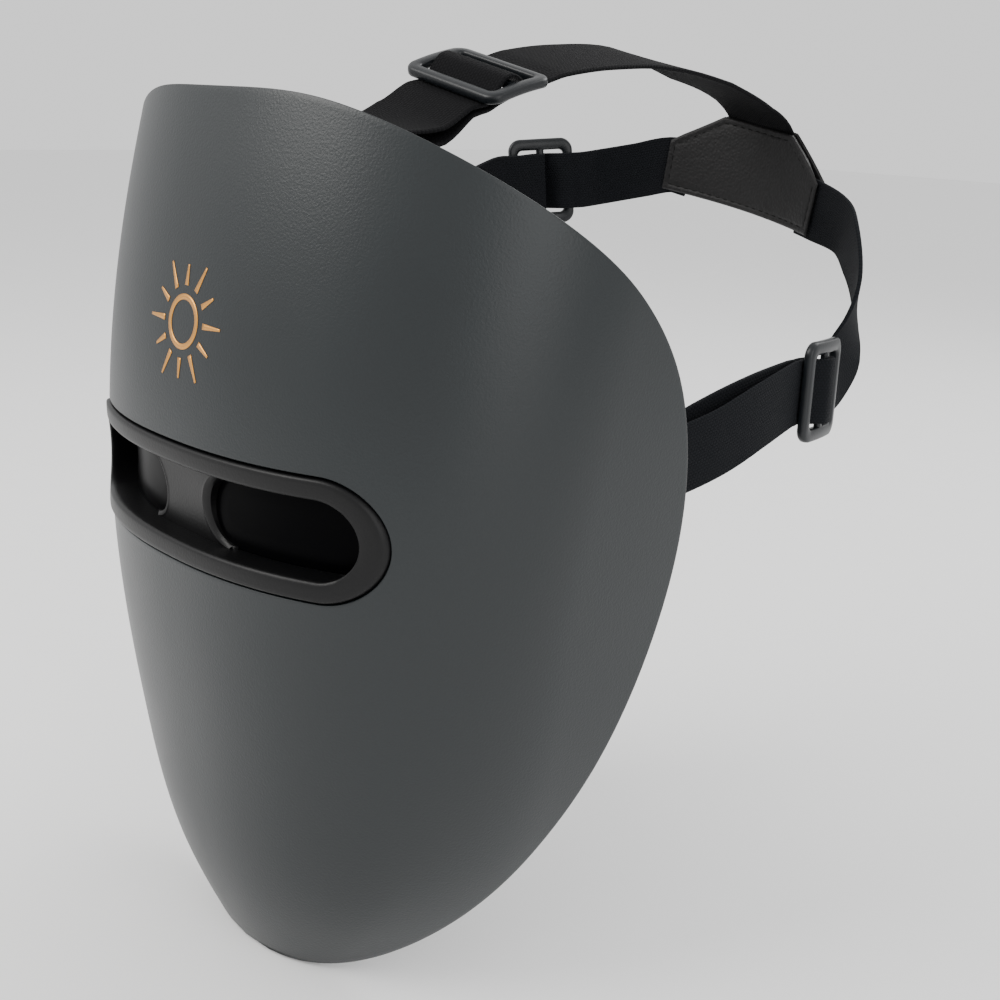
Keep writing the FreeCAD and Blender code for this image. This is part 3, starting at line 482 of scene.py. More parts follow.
def webbing_group():
    """Knitted webbing from a piece's own coordinates in millimetres: ribs across, wales along; painted shade
    darkens the colour between the knots and the fuzz mottles it.
    """
    group, start, end = new_group(
        "webbing",
        [("Place", "NodeSocketVector", None), ("Colour", "NodeSocketColor", (0.1, 0.1, 0.1, 1)),
         ("Wale", "NodeSocketFloat", 0.95), ("Rib", "NodeSocketFloat", 1.25),
         ("Height", "NodeSocketFloat", 0.7)],
        [("Colour", "NodeSocketColor"), ("Normal", "NodeSocketVector")])
    split = group.nodes.new("ShaderNodeSeparateXYZ")
    group.links.new(start.outputs["Place"], split.inputs[0])
    across = math_node(group, "DIVIDE", split.outputs[0], start.outputs["Wale"])
    along = math_node(group, "DIVIDE", split.outputs[1], start.outputs["Rib"])
    stagger = math_node(group, "MULTIPLY", math_node(group, "FLOOR", across), 0.5)
    column = wave(group, across)
    row = wave(group, math_node(group, "ADD", along, stagger))
    knot = math_node(group, "MULTIPLY", math_node(group, "POWER", column, 0.6),
                     math_node(group, "POWER", row, 0.5))
    fuzz = group.nodes.new("ShaderNodeTexNoise")
    fuzz.inputs["Scale"].default_value = 6.0
    fuzz.inputs["Detail"].default_value = 3.0
    group.links.new(start.outputs["Place"], fuzz.inputs["Vector"])
    height = math_node(group, "ADD", knot, math_node(group, "MULTIPLY", fuzz.outputs[0], 0.35))
    bump = group.nodes.new("ShaderNodeBump")
    bump.inputs["Distance"].default_value = 0.00025
    group.links.new(start.outputs["Height"], bump.inputs["Strength"])
    group.links.new(height, bump.inputs["Height"])
    group.links.new(bump.outputs[0], end.inputs["Normal"])
    # Painted shade: the colour goes darker down into the valleys between the knots, with a random mottle from
    # the fuzz.
    mottle_and_painted_shade = math_node(group, "ADD", 0.45, math_node(group, "MULTIPLY", height, 0.62))
    group.links.new(scaled_colour(group, start.outputs["Colour"], mottle_and_painted_shade), end.inputs["Colour"])
    return group


def leather_group():
    """Pebbled leather: rounded cells with creases between them; painted shade darkens the colour in the
    creases and a cloud mottles it.
    """
    group, start, end = new_group(
        "leather",
        [("Place", "NodeSocketVector", None), ("Colour", "NodeSocketColor", (0.1, 0.1, 0.1, 1)),
         ("Height", "NodeSocketFloat", 0.5)],
        [("Colour", "NodeSocketColor"), ("Normal", "NodeSocketVector"), ("Roughness", "NodeSocketFloat")])
    cells = group.nodes.new("ShaderNodeTexVoronoi")
    cells.feature = "SMOOTH_F1"
    cells.inputs["Scale"].default_value = 1150.0
    group.links.new(start.outputs["Place"], cells.inputs["Vector"])
    cloud = group.nodes.new("ShaderNodeTexNoise")
    cloud.inputs["Scale"].default_value = 90.0
    group.links.new(start.outputs["Place"], cloud.inputs["Vector"])
    height = math_node(group, "SUBTRACT", cloud.outputs[0], cells.outputs["Distance"])
    bump = group.nodes.new("ShaderNodeBump")
    bump.inputs["Distance"].default_value = 0.0002
    group.links.new(start.outputs["Height"], bump.inputs["Strength"])
    group.links.new(height, bump.inputs["Height"])
    group.links.new(bump.outputs[0], end.inputs["Normal"])
    # Painted shade: the colour goes darker in the creases between the cells, with a random mottle from the
    # cloud.
    mottle_and_painted_shade = math_node(group, "ADD", 0.95, math_node(group, "MULTIPLY", height, 0.3))
    group.links.new(scaled_colour(group, start.outputs["Colour"], mottle_and_painted_shade), end.inputs["Colour"])
    group.links.new(math_node(group, "SUBTRACT", 0.62, math_node(group, "MULTIPLY", height, 0.12)),
                    end.inputs["Roughness"])
    return group


FINE = fine_surface_group()
WEBBING = webbing_group()
LEATHER = leather_group()


def linear(red, green, blue):
    """Screen colour 0 to 255 as linear light."""
    def one(value):
        value /= 255
        return value / 12.92 if value <= 0.04045 else ((value + 0.055) / 1.055) ** 2.4
    return one(red), one(green), one(blue), 1.0


def material(name, group, colour, coordinates="Object", shader=None, **settings):
    made = bpy.data.materials.new(name)
    made.use_nodes = True
    tree = made.node_tree
    surface = next(node for node in tree.nodes if node.type == "BSDF_PRINCIPLED")
    for key, value in (shader or {}).items():
        surface.inputs[key].default_value = value
    place = tree.nodes.new("ShaderNodeTexCoord")
    pattern = tree.nodes.new("ShaderNodeGroup")
    pattern.node_tree = group
    pattern.inputs["Colour"].default_value = colour
    for key, value in settings.items():
        pattern.inputs[key.replace("_", " ").title()].default_value = value
    tree.links.new(place.outputs[coordinates], pattern.inputs["Place"])
    tree.links.new(pattern.outputs["Colour"], surface.inputs["Base Color"])
    tree.links.new(pattern.outputs["Normal"], surface.inputs["Normal"])
    if "Roughness" in pattern.outputs:
        tree.links.new(pattern.outputs["Roughness"], surface.inputs["Roughness"])
    made.diffuse_color = colour
    return made


shell_paint = material("satin_slate", FINE, linear(21, 26, 28), roughness=0.38, grain_scale=1700.0,
                       grain_height=0.3, blotch=0.10, shader={"Specular IOR Level": 0.4})
bezel_plastic = material("bezel_black", FINE, linear(5, 5, 6), roughness=0.42, grain_scale=1500.0,
                         grain_height=0.25, blotch=0.10, shader={"Specular IOR Level": 0.24})
black_plastic = material("moulded_black", FINE, linear(12, 12, 13), roughness=0.45, grain_scale=1500.0,
                         grain_height=0.2, blotch=0.12, shader={"Specular IOR Level": 0.35})
panel_plastic = material("smoked_panel", FINE, linear(20, 20, 23), roughness=0.26, grain_scale=900.0,
                         grain_height=0.05, blotch=0.12)
window_plastic = material("clear_lamp_window", FINE, linear(205, 205, 198), roughness=0.16, grain_scale=900.0,
                          grain_height=0.04, blotch=0.08, shader={"Coat Weight": 0.4})
silicone = material("soft_silicone", FINE, linear(24, 24, 26), roughness=0.55, grain_scale=700.0,
                    grain_height=0.10, blotch=0.14, shader={"Sheen Weight": 0.12})
buckle_plastic = material("buckle_grey", FINE, linear(18, 21, 24), roughness=0.36, grain_scale=1300.0,
                          grain_height=0.14, blotch=0.12, shader={"Specular IOR Level": 0.35})
steel = material("screw_steel", FINE, linear(150, 150, 150), roughness=0.35, grain_scale=2400.0,
                 grain_height=0.12, blotch=0.15, shader={"Metallic": 1.0})
socket_steel = material("socket_steel", FINE, linear(180, 182, 186), roughness=0.28, grain_scale=2600.0,
                        grain_height=0.10, blotch=0.12, shader={"Metallic": 1.0})
copper = material("copper_print", FINE, linear(196, 140, 70), roughness=0.38, grain_scale=2200.0,
                  grain_height=0.12, blotch=0.18, shader={"Metallic": 0.75})
board_film = material("board_film", FINE, linear(180, 120, 40), roughness=0.4, blotch=0.2)
lamp_lens = material("lamp_lens", FINE, linear(235, 230, 210), roughness=0.2, blotch=0.1)
battery_film = material("battery_film", FINE, linear(150, 155, 165), roughness=0.35, blotch=0.2)
tape_foam = material("tape_foam", FINE, linear(210, 210, 205), roughness=0.8, grain_height=0.3)
lens_tint = material("lens_tint", FINE, linear(3, 3, 4), roughness=0.3, grain_height=0.0, blotch=0.05,
                     shader={"Specular IOR Level": 0.02})
board_green = material("board_green", FINE, linear(28, 84, 52), roughness=0.4, blotch=0.2)
black_webbing = material("black_webbing", WEBBING, linear(12, 12, 14), coordinates="UV",
                         shader={"Roughness": 0.85, "Specular IOR Level": 0.12})
side_webbing = material("side_webbing", WEBBING, linear(13, 15, 19), coordinates="UV", wale=0.8, rib=1.0,
                        shader={"Roughness": 0.85, "Specular IOR Level": 0.15})
yoke_leather = material("yoke_leather", LEATHER, linear(13, 12, 13), height=0.8,
                        shader={"Specular IOR Level": 0.35})
yoke_thread = material("yoke_thread", FINE, linear(6, 6, 6), roughness=0.75, grain_scale=3000.0,
                       grain_height=0.4, blotch=0.2, shader={"Specular IOR Level": 0.2})

SLOT_FINISH = {"shell_paint": shell_paint, "black_plastic": black_plastic, "panel_plastic": panel_plastic,
               "silicone": silicone, "board_film": board_film, "lamp_lens": lamp_lens, "screw_steel": steel,
               "socket_steel": socket_steel, "buckle_plastic": buckle_plastic,
               "elastic_webbing": black_webbing, "yoke_leather": yoke_leather,
               "battery_film": battery_film, "tape_foam": tape_foam, "board_green": board_green,
               "lens_tint": lens_tint}
for part in frame["record"]["subparts"]:
    mesh = frame["nodes"][part["node"]].data
    mesh.materials.clear()
    mesh.materials.append(SLOT_FINISH[part["material_slot"]])


# ---------------------------------------------------------------- shell, panel and rim
def holed_sheet(name, offset, inset, hole, around, rings, thick):
    """A sheet of the form from a slot-shaped hole out to the rear edge, thickened inwards."""
    edge = [disc_spot(*stadium(i / around, *hole), offset, inset) for i in range(around)]

    def place(u, v):
        i = round(u * around) % around
        turn = 2 * math.pi * i / around
        across, up = edge[i]
        return disc_place(lerp(across, math.cos(turn), v), lerp(up, math.sin(turn), v), offset, inset)
    sheet = grid_piece(name, around, rings, place)
    edit(sheet, (bpy.ops.mesh.remove_doubles, {"threshold": MERGE_GAP}))
    face = sheet.data.polygons[len(sheet.data.polygons) // 2]
    outwards = face.normal.dot(skin_normal(face.center.x / MM, face.center.z / MM, 0)) > 0
    if not outwards:
        edit(sheet, (bpy.ops.mesh.flip_normals, {}))
    apply_modifier(sheet, "SOLIDIFY", thickness=thick * MM, offset=-1.0, use_even_offset=True)
    return sheet


shell = holed_sheet("shell_skin", 0.0, 0.0, WINDOW_HALF, 320, 90, SHELL_WALL)
apply_modifier(shell, "BEVEL", width=0.55 * MM, segments=3, limit_method="ANGLE",
               angle_limit=math.radians(50), use_clamp_overlap=True)
smooth(shell, 40)
finish_piece(shell, shell_paint, "mask", "shell_paint", "outer_shell")


def sweep(name, loops):
    """A closed tube of loops of places: every loop has the same count, first and last meet."""
    around = len(loops)
    steps = len(loops[0])

    def place(u, v):
        return loops[round(u * around) % around][round(v * steps) % steps]
    return grid_piece(name, around, steps, place, close=True)


# Eye window insert: lip, duct and bridge over the nose.
# (inset from the slot's edge, offset into the shell) round the lip's section
DUCT_INSET = 5.5
WINDOW_LOOPS = 288
LIP_PROFILE = [(0.0, 2.2), (0.0, 0.2), (0.08, -0.25), (0.3, -0.62), (0.7, -0.8), (1.6, -0.8), (3.0, -0.72),
               (4.3, -0.6), (4.9, -0.45), (5.3, -0.1), (5.48, 0.5), (5.5, 1.3), (5.5, 4.0), (5.5, 8.9),
               (4.1, 8.9), (4.1, 2.2)]


def window_loop(share):
    spots = []
    for inset, offset in LIP_PROFILE:
        part = inset / DUCT_INSET
        half_long, half_high = [lerp(BEZEL_HALF[k], DUCT_HALF[k], part) for k in range(2)]
        x, z = stadium(share, half_long, half_high)
        spots.append(skin_at(x, z, offset))
    return spots


window_ring = sweep("window_ring", [window_loop(i / WINDOW_LOOPS) for i in range(WINDOW_LOOPS)])

# (share of the way out from the rounded shoulder, drop behind the web) down one wall of the bridge
BRIDGE_PROFILE = [(1.0, 8.8), (1.0, 5.0), (1.0, 1.6), (0.985, 1.3), (0.88, 0.16), (0.865, 0.03), (0.84, 0.0)]
BRIDGE_WALL_STEPS = len(BRIDGE_PROFILE) - 1
BRIDGE_STEPS = 36
BRIDGE_MIDDLE = BRIDGE_STEPS // 2
BRIDGE_ROUND = 9.5
BRIDGE_REAR = 8.8


def bridge_place(u, v):
    """Across the nose bridge: up one wall, over the web and down the other wall."""
    turn = math.pi * (v - 0.5)
    height = BRIDGE_ROUND * math.sin(turn)
    edge = BRIDGE_HALF + BRIDGE_ROUND * (1 - math.cos(turn))
    recess = lerp(6.3, 4.0, (height + BRIDGE_ROUND) / (2 * BRIDGE_ROUND))
    walk = u * BRIDGE_STEPS
    side = 1 if walk < BRIDGE_MIDDLE else -1
    step = walk if walk < BRIDGE_MIDDLE else BRIDGE_STEPS - walk
    if step <= BRIDGE_WALL_STEPS:
        share, drop = BRIDGE_PROFILE[int(round(step))]
        inner = edge - (1.0 - share) * 10.0
        limit = skin_at(inner, height, recess).y / MM
        rear = skin_at(inner, height, BRIDGE_REAR).y / MM
        y = limit + (rear - limit) * drop / BRIDGE_REAR
        return Vector((side * inner, y, height)) * MM
    inner = (edge - 1.6) * (BRIDGE_MIDDLE - step) / (BRIDGE_MIDDLE - BRIDGE_WALL_STEPS)
    y = skin_at(inner, height, recess).y / MM + 0.5 * (1 - (inner / edge) ** 2)
    return Vector((side * inner, y, height)) * MM


bridge = grid_piece("bridge", BRIDGE_STEPS, 40, bridge_place)
apply_modifier(bridge, "SOLIDIFY", thickness=1.3 * MM, offset=0.0)
face_out(bridge)
smooth(bridge, 50)
eye_insert = join("eye_insert", [window_ring, bridge])
finish_piece(eye_insert, bezel_plastic, "mask", "black_plastic", "eye_frame")

# Dark lenses that close the two eye openings.
# (inset from the lens's outline, offset into the shell) over its front face, edge and rear face
LENS_CENTRE = 5.0
LENS_FRONT = 7.0
LENS_REAR = 8.2
LENS_AROUND = 96
LENS_ROWS = [(LENS_CENTRE, LENS_FRONT), (2.5, LENS_FRONT), (0.35, LENS_FRONT), (0.12, 7.1), (0.05, 7.3),
             (0.05, 7.9), (0.12, 8.1), (0.35, LENS_REAR), (2.5, LENS_REAR), (LENS_CENTRE, LENS_REAR)]


def eye_outline(share, inset, side):
    """Point round one eye opening, by its share of the way, moved in by inset."""
    return stadium(share, EYE_HALF - inset, DUCT_HALF[1] - inset, (side * EYE_X, 0.0))


for side, name in ((1, "left_eye_lens"), (-1, "right_eye_lens")):
    def lens_place(u, v, side=side):
        inset, offset = LENS_ROWS[round(v * (len(LENS_ROWS) - 1))]
        x, z = eye_outline(round(u * LENS_AROUND) / LENS_AROUND, inset, side)
        return skin_at(x, z, offset)
    lens_piece = grid_piece(name.replace("lens", "glass"), LENS_AROUND, len(LENS_ROWS) - 1, lens_place)
    edit(lens_piece, (bpy.ops.mesh.remove_doubles, {"threshold": MERGE_GAP}))
    for offset in (LENS_FRONT, LENS_REAR):
        rim = [eye_outline(i / LENS_AROUND, LENS_CENTRE, side) for i in range(LENS_AROUND)]
        fill_loop(lens_piece, [skin_at(x, z, offset) for x, z in rim], 36)
    face_out(lens_piece)
    smooth(lens_piece, 40)
    finish_piece(lens_piece, lens_tint, "mask", "lens_tint", name)

# Lamp panel with clear windows over the lamps
panel = holed_sheet("lamp_panel", PANEL_OUTER, 0.0, PANEL_HOLE, 240, 60, PANEL_WALL)
apply_modifier(panel, "BEVEL", width=0.4 * MM, segments=2, limit_method="ANGLE",
               angle_limit=math.radians(50), use_clamp_overlap=True)
smooth(panel, 40)
finish_piece(panel, panel_plastic, "mask", "panel_plastic", "face_panel")

LAMP_NODES = ("forehead_lamps", "left_cheek_lamps", "right_cheek_lamps", "chin_lamps")


def loose_centres(node):
    """Centre of every separate solid of a CAD node, in millimetres."""
    mesh = bmesh.new()
    mesh.from_mesh(frame["nodes"][node].data)
    bmesh.ops.remove_doubles(mesh, verts=mesh.verts, dist=1e-6)
    seen = set()
    centres = []
    for vertex in mesh.verts:
        if vertex in seen:
            continue
        group = []
        stack = [vertex]
        seen.add(vertex)
        while stack:
            spot = stack.pop()
            group.append(spot.co.copy())
            for link in spot.link_edges:
                other = link.other_vert(spot)
                if other not in seen:
                    seen.add(other)
                    stack.append(other)
        low = Vector([min(co[i] for co in group) for i in range(3)])
        high = Vector([max(co[i] for co in group) for i in range(3)])
        centres.append((low + high) / 2 / MM)
    mesh.free()
    return centres


def lamp_window(name, centre):
    """A low clear dome moulded into the panel's inner face."""
    base = skin_at(centre.x, centre.z, PANEL_INNER - 0.5)
    normal = -skin_normal(centre.x, centre.z, PANEL_INNER)
    side = normal.cross(Vector((0, 0, 1))).normalized()
    rise = side.cross(normal)

    def place(u, v):
        turn = 2 * math.pi * u
        reach = 1.9 * math.sin(v * math.pi / 2)
        lift = 0.15 + 1.15 * math.cos(v * math.pi / 2)
        return base + (side * math.cos(turn) * reach + rise * math.sin(turn) * reach + normal * lift) * MM
    return grid_piece(name, 16, 6, place, close=True)


windows = []
for node in LAMP_NODES:
    for centre in loose_centres(node):
        windows.append(lamp_window(f"lamp_window_{len(windows)}", centre))
lamp_windows = join("lamp_windows", windows)
finish_piece(lamp_windows, window_plastic, "mask", "panel_plastic")


# ---------------------------------------------------------------- moulded parts from the CAD solids
for node, name, finish, slot_name, body, angle, bevel in (
        ("top_anchor", "top_anchor_loop", black_plastic, "black_plastic", "mask", 30, 0.35),
        ("left_anchor", "left_anchor_loop", black_plastic, "black_plastic", "mask", 30, 0.35),
        ("right_anchor", "right_anchor_loop", black_plastic, "black_plastic", "mask", 30, 0.35),
        ("anchor_screws", "anchor_screw_set", steel, "screw_steel", "mask", 30, 0.0),
        ("rim_screws", "rim_screw_set", steel, "screw_steel", "mask", 30, 0.0),
        ("power_button", "power_key", buckle_plastic, "buckle_plastic", "power_button", 30, 0.25),
        ("usb_c_socket", "charge_socket", socket_steel, "socket_steel", "mask", 30, 0.0)):
    finish_piece(refined(node, name, angle, bevel), finish, body, slot_name, node)


# (offset into the shell, inset from the rear edge) round the band's section
RIM_PROFILE = [(2.3, 5.6), (2.3, 3.0), (2.3, 1.1), (2.45, 0.75), (2.8, 0.6), (5.6, 0.6), (8.4, 0.6),
               (8.75, 0.75), (8.9, 1.1), (8.9, 3.0), (8.9, 5.6), (5.6, 5.6)]


def rim_loop(share):
    turn = 2 * math.pi * share
    return [disc_place(math.cos(turn), math.sin(turn), offset, inset) for offset, inset in RIM_PROFILE]


RIM_LOOPS = 360
rim_band = sweep("rim_band", [rim_loop(i / RIM_LOOPS) for i in range(RIM_LOOPS)])
low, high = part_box("usb_c_socket")
key_low, key_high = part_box("power_button")
for (low_corner, high_corner, spare) in ((low, high, 0.06 * MM), (key_low, key_high, 0.25 * MM)):
    deselect()
    centre = (low_corner + high_corner) / 2
    bpy.ops.mesh.primitive_cube_add(size=1, location=centre)
    cutter = bpy.context.active_object
    cutter.scale = (high_corner.x - low_corner.x + 2 * spare, 0.03, high_corner.z - low_corner.z + 2 * spare)
    settle(cutter)
    apply_modifier(rim_band, "BOOLEAN", object=cutter, operation="DIFFERENCE")
    bpy.data.objects.remove(cutter)
smooth(rim_band, 35)
finish_piece(rim_band, black_plastic, "mask", "black_plastic", "rim_frame")

# (inset from the shield's outline, offset into the shell) round the section of the silicone ring
SHIELD_LOOPS = 160
SHIELD_MARGIN = 4
SHIELD_PROFILE = [(0.0, 10.9), (0.1, 12.4), (0.35, 13.7), (0.9, 14.6), (1.7, 15.0), (2.6, 14.75), (3.3, 14.0),
                  (3.8, 12.6), (4.0, 10.9)]
for side, name in ((1, "left_eye"), (-1, "right_eye")):
    loops = []
    for i in range(SHIELD_LOOPS):
        loop = []
        for inset, offset in SHIELD_PROFILE:
            x, z = stadium(i / SHIELD_LOOPS, EYE_HALF + SHIELD_MARGIN - inset,
                           DUCT_HALF[1] + SHIELD_MARGIN - inset, (side * EYE_X, 0.0))
            loop.append(skin_at(x, z, offset))
        loops.append(loop)
    finish_piece(sweep(f"{name}_cushion", loops), silicone, "mask", "silicone", f"{name}_shield")


def cushion(name, node, half_long, half_high, centre, low_offset, high_offset, round_edge):
    """A soft stadium-shaped pad on the panel, domed towards the skin."""
    around = 96
    rows = [(0.0, low_offset), (0.0, high_offset - round_edge)]
    for i in range(1, 6):
        turn = math.pi / 2 * i / 5
        rows.append((round_edge * (1 - math.cos(turn)), high_offset - round_edge * (1 - math.sin(turn))))
    fold = (half_high - round_edge) / 6
    for i in range(1, 7):
        dome = 0.25 * math.sin(math.pi / 2 * i / 6)
        rows.append((min(round_edge + fold * i, half_high - 0.02), high_offset + dome))

    def place(u, v):
        inset, offset = rows[round(v * (len(rows) - 1))]
        x, z = stadium(round(u * around) / around, half_long - inset, half_high - inset, centre)
        return skin_at(x, z, offset)
    pad = grid_piece(name, around, len(rows) - 1, place, close=True)
    finish_piece(pad, silicone, "mask", "silicone", node)


PAD_SEAT = 10.85
PAD_TOP = 15.1
cushion("forehead_cushion", "forehead_pad", 40.0, 8.0, (0.0, 54.0), PAD_SEAT, PAD_TOP, 2.2)
cushion("nose_cushion", "nose_pad", 17.0, 6.0, (0.0, -24.0), PAD_SEAT, PAD_TOP, 2.0)


# ---------------------------------------------------------------- generic light mark on the forehead
PRINT_LIFT = 0.06
PRINT_THICK = 0.1


def skin_patch(name, corners, columns, rows):
    """A thin printed patch between four corners given as (x, z) on the skin."""
    a, b, c, d = corners

    def place(u, v):
        x = lerp(lerp(a[0], b[0], u), lerp(d[0], c[0], u), v)
        z = lerp(lerp(a[1], b[1], u), lerp(d[1], c[1], u), v)
        return skin_at(x, z, -PRINT_LIFT)
    patch = grid_piece(name, columns, rows, place)
    apply_modifier(patch, "SOLIDIFY", thickness=PRINT_THICK * MM, offset=0.0)
    face_out(patch)
    return patch


MARK = (3.0, 44.0)
RAYS = 12
RAY_START = 8.6
RAY_STOPS = (15.5, 13.5)
RAY_HALF = 0.75
TIP_HALF = 0.3
RING_REACH = (5.2, 6.6)


def ray_corner(turn, reach, sideways):
    return (MARK[0] + math.cos(turn) * reach - math.sin(turn) * sideways,
            MARK[1] + math.sin(turn) * reach + math.cos(turn) * sideways)


marks = []
for i in range(RAYS):
    turn = 2 * math.pi * i / RAYS
    tip = RAY_STOPS[i % 2]
    corners = [ray_corner(turn, RAY_START, -RAY_HALF), ray_corner(turn, tip, -TIP_HALF),
               ray_corner(turn, tip, TIP_HALF), ray_corner(turn, RAY_START, RAY_HALF)]
    marks.append(skin_patch(f"ray_{i}", corners, 8, 2))


def mark_ring(name, inner, outer):
    def place(u, v):
        turn = 2 * math.pi * u
        reach = lerp(inner, outer, v)
        return skin_at(MARK[0] + reach * math.cos(turn), MARK[1] + reach * math.sin(turn), -PRINT_LIFT)
    ring = grid_piece(name, 64, 2, place)
    edit(ring, (bpy.ops.mesh.remove_doubles, {"threshold": MERGE_GAP}))
    apply_modifier(ring, "SOLIDIFY", thickness=PRINT_THICK * MM, offset=0.0)
    face_out(ring)
    return ring


marks.append(mark_ring("mark_ring", *RING_REACH))
sun_mark = join("sun_mark", marks)
finish_piece(sun_mark, copper, "mask", "shell_paint")


# ---------------------------------------------------------------- straps, sliders and yoke
def frame_from(centre, along, outward):
    """Local X across the strap, Y along it, Z outwards; in millimetres."""
    y = Vector(along).normalized()
    z = Vector(outward)
    z = (z - y * z.dot(y)).normalized()
    x = y.cross(z)
    return Vector(centre), x, y, z


SLIDERS = {
    "top": frame_from((0, 60.5, 103.4), (0, 0.963, 0.27), (0.22, -0.27, 0.93)),
    "left": frame_from((70, 131.8, 21.4), (-0.25, 0.96, -0.02), (0.96, 0.25, 0)),
    "right": frame_from((-58.7, 140.9, 69.9), (0.52, 0.85, 0.08), (-0.85, 0.52, 0))}
STRAP_WIDTH = {"top": 27.0, "left": 18.5, "right": 18.5}
STRAP_THICK = 1.2
STRAP_STEPS = 6
# The upper half of the webbing's section, in half widths and half thicknesses, its edges eased
STRAP_UPPER = [(1.0, 0.45), (0.97, 1.0), (0.6, 1.0), (0.2, 1.0), (-0.2, 1.0), (-0.6, 1.0),
               (-0.97, 1.0), (-1.0, 0.45)]
# Places along the strap and above the slider: over its middle bar, and the tail tucked under it
SLIDER_REACH = 14
BAR_TOP = (0, 2.7)
OVER_BAR = [(SLIDER_REACH, -2.3), (11.2, -2.45), (7.7, -2.55), (4.6, 0), (1.9, 2.35), BAR_TOP,
            (-1.9, 2.35), (-4.6, 0), (-7.7, -2.55), (-11.2, -2.45), (-SLIDER_REACH, -2.4)]
UNDER_BAR = [(-SLIDER_REACH, -4.6), (-11.2, -4.3), (-7.7, -4.3), (-4.2, -3.5), (0.8, -2.7)]
YOKE_CENTRE = Vector((0, 183, 74.5))
YOKE_RADIUS = 90.0
YOKE_TURN = Matrix.Rotation(math.radians(9.5), 3, "Y")
YOKE_LAYER = 1.3
STRAP_ROOM = STRAP_THICK + 0.1
STRAP_DROP = YOKE_LAYER + STRAP_ROOM / 2
LINING_DROP = YOKE_LAYER + STRAP_ROOM
LINING_SHRINK = 0.6


def yoke_point(across, up, drop=STRAP_DROP):
    radius = YOKE_RADIUS - drop
    return YOKE_CENTRE + YOKE_TURN @ Vector((across, math.sqrt(radius**2 - across**2) - YOKE_RADIUS, up))


def slider_points(name, stations):
    centre, _, y, z = SLIDERS[name]
    return [centre + y * along + z * lift for along, lift in stations]


def wrap_points(bar, pull, side, lift, deep):
    points = []
    for angle in (90, 45, 0, -45, -90):
        turn = math.radians(angle)
        sideways = math.copysign(abs(math.sin(turn)) ** 0.6, turn) * lift
        inwards = abs(math.cos(turn)) ** 0.6 * deep
        points.append(bar + side * sideways - pull * inwards)
    return points


def both(points, across):
    return [(Vector(point), Vector(across)) for point in points]


UP = Vector((0, 0, 1))
ACROSS = Vector((1, 0, 0))
yoke_across = YOKE_TURN @ ACROSS
yoke_up = YOKE_TURN @ UP
rolled = SLIDERS["top"][1] if SLIDERS["top"][1].x > 0 else -SLIDERS["top"][1]
left_upright = SLIDERS["left"][1] if SLIDERS["left"][1].z > 0 else -SLIDERS["left"][1]
right_upright = SLIDERS["right"][1] if SLIDERS["right"][1].z > 0 else -SLIDERS["right"][1]
lean = Vector((0, -0.2, 1))
steep = Vector((0, -0.6, 0.8))
rise = Vector((0, 0.2, 1)).normalized()
away = Vector((0, 1, -0.2)).normalized()
top_bar = Vector((0, -14.3, 75.4)) + rise * 10 + away * 3.7
left_bar = Vector((69.62, 56, 8.4))
right_bar = Vector((-69.62, 56, 8.4))

top_rows = [(yoke_point(0, 9), yoke_across), (yoke_point(0, 16), yoke_across),
            (Vector((1.5, 172, 98)), yoke_across),
            (Vector((0.5, 151.5, 104.5)), yoke_across * 0.5 + ACROSS * 0.5)]
top_rows += both([(0, 123.6, 110), (0, 100, 109.5), (0, 82, 107.2)], rolled)
top_rows += both(slider_points("top", OVER_BAR), rolled)
top_rows += [(Vector((0, 38, 92.3)), rolled), (Vector((0, 22, 88.6)), ACROSS), (Vector((0, 4, 87.6)), ACROSS)]
top_rows += both(wrap_points(top_bar, away, rise, 3.1, 2.6), ACROSS)
top_rows += [(Vector((0, 4, 81.8)), ACROSS), (Vector((0, 22, 84)), ACROSS), (Vector((0, 38, 88.5)), rolled)]
top_rows += both(slider_points("top", UNDER_BAR), rolled)

left_rows = [(yoke_point(24, -2.7), yoke_up), (yoke_point(31, -2.7), yoke_up),
             (Vector((44, 171, 63.2)), yoke_up * 0.8 + Vector((0.3, -0.3, 0))),
             (Vector((53.5, 163.8, 57)), Vector((0.5, -0.45, 0.75))),
             (Vector((60.5, 158.3, 47.5)), Vector((0.5, -0.6, 0.55))),
             (Vector((63, 154.5, 38)), Vector((0.25, -0.5, 0.8))),
             (Vector((63.4, 151, 29)), lean), (Vector((63.6, 147.9, 22.5)), left_upright)]
left_rows += both(slider_points("left", OVER_BAR), left_upright)
left_rows += [(Vector((74.5, 100, 18.5)), Vector((0, -0.12, 1))), (Vector((74.5, 84, 13.5)), lean),
              (Vector((72.6, 68, 9.5)), lean * 0.5 + UP)]
left_rows += both(wrap_points(left_bar, Vector((0, 1, 0)), Vector((1, 0, -0.108)).normalized(), 2.6, 3.1),
                  (0.108, 0, 1))
left_rows += [(Vector((67.8, 68, 10)), lean * 0.5 + UP), (Vector((69.5, 84, 15.5)), lean),
              (Vector((71, 100, 20)), Vector((0, -0.12, 1)))]
left_rows += both(slider_points("left", UNDER_BAR), left_upright)

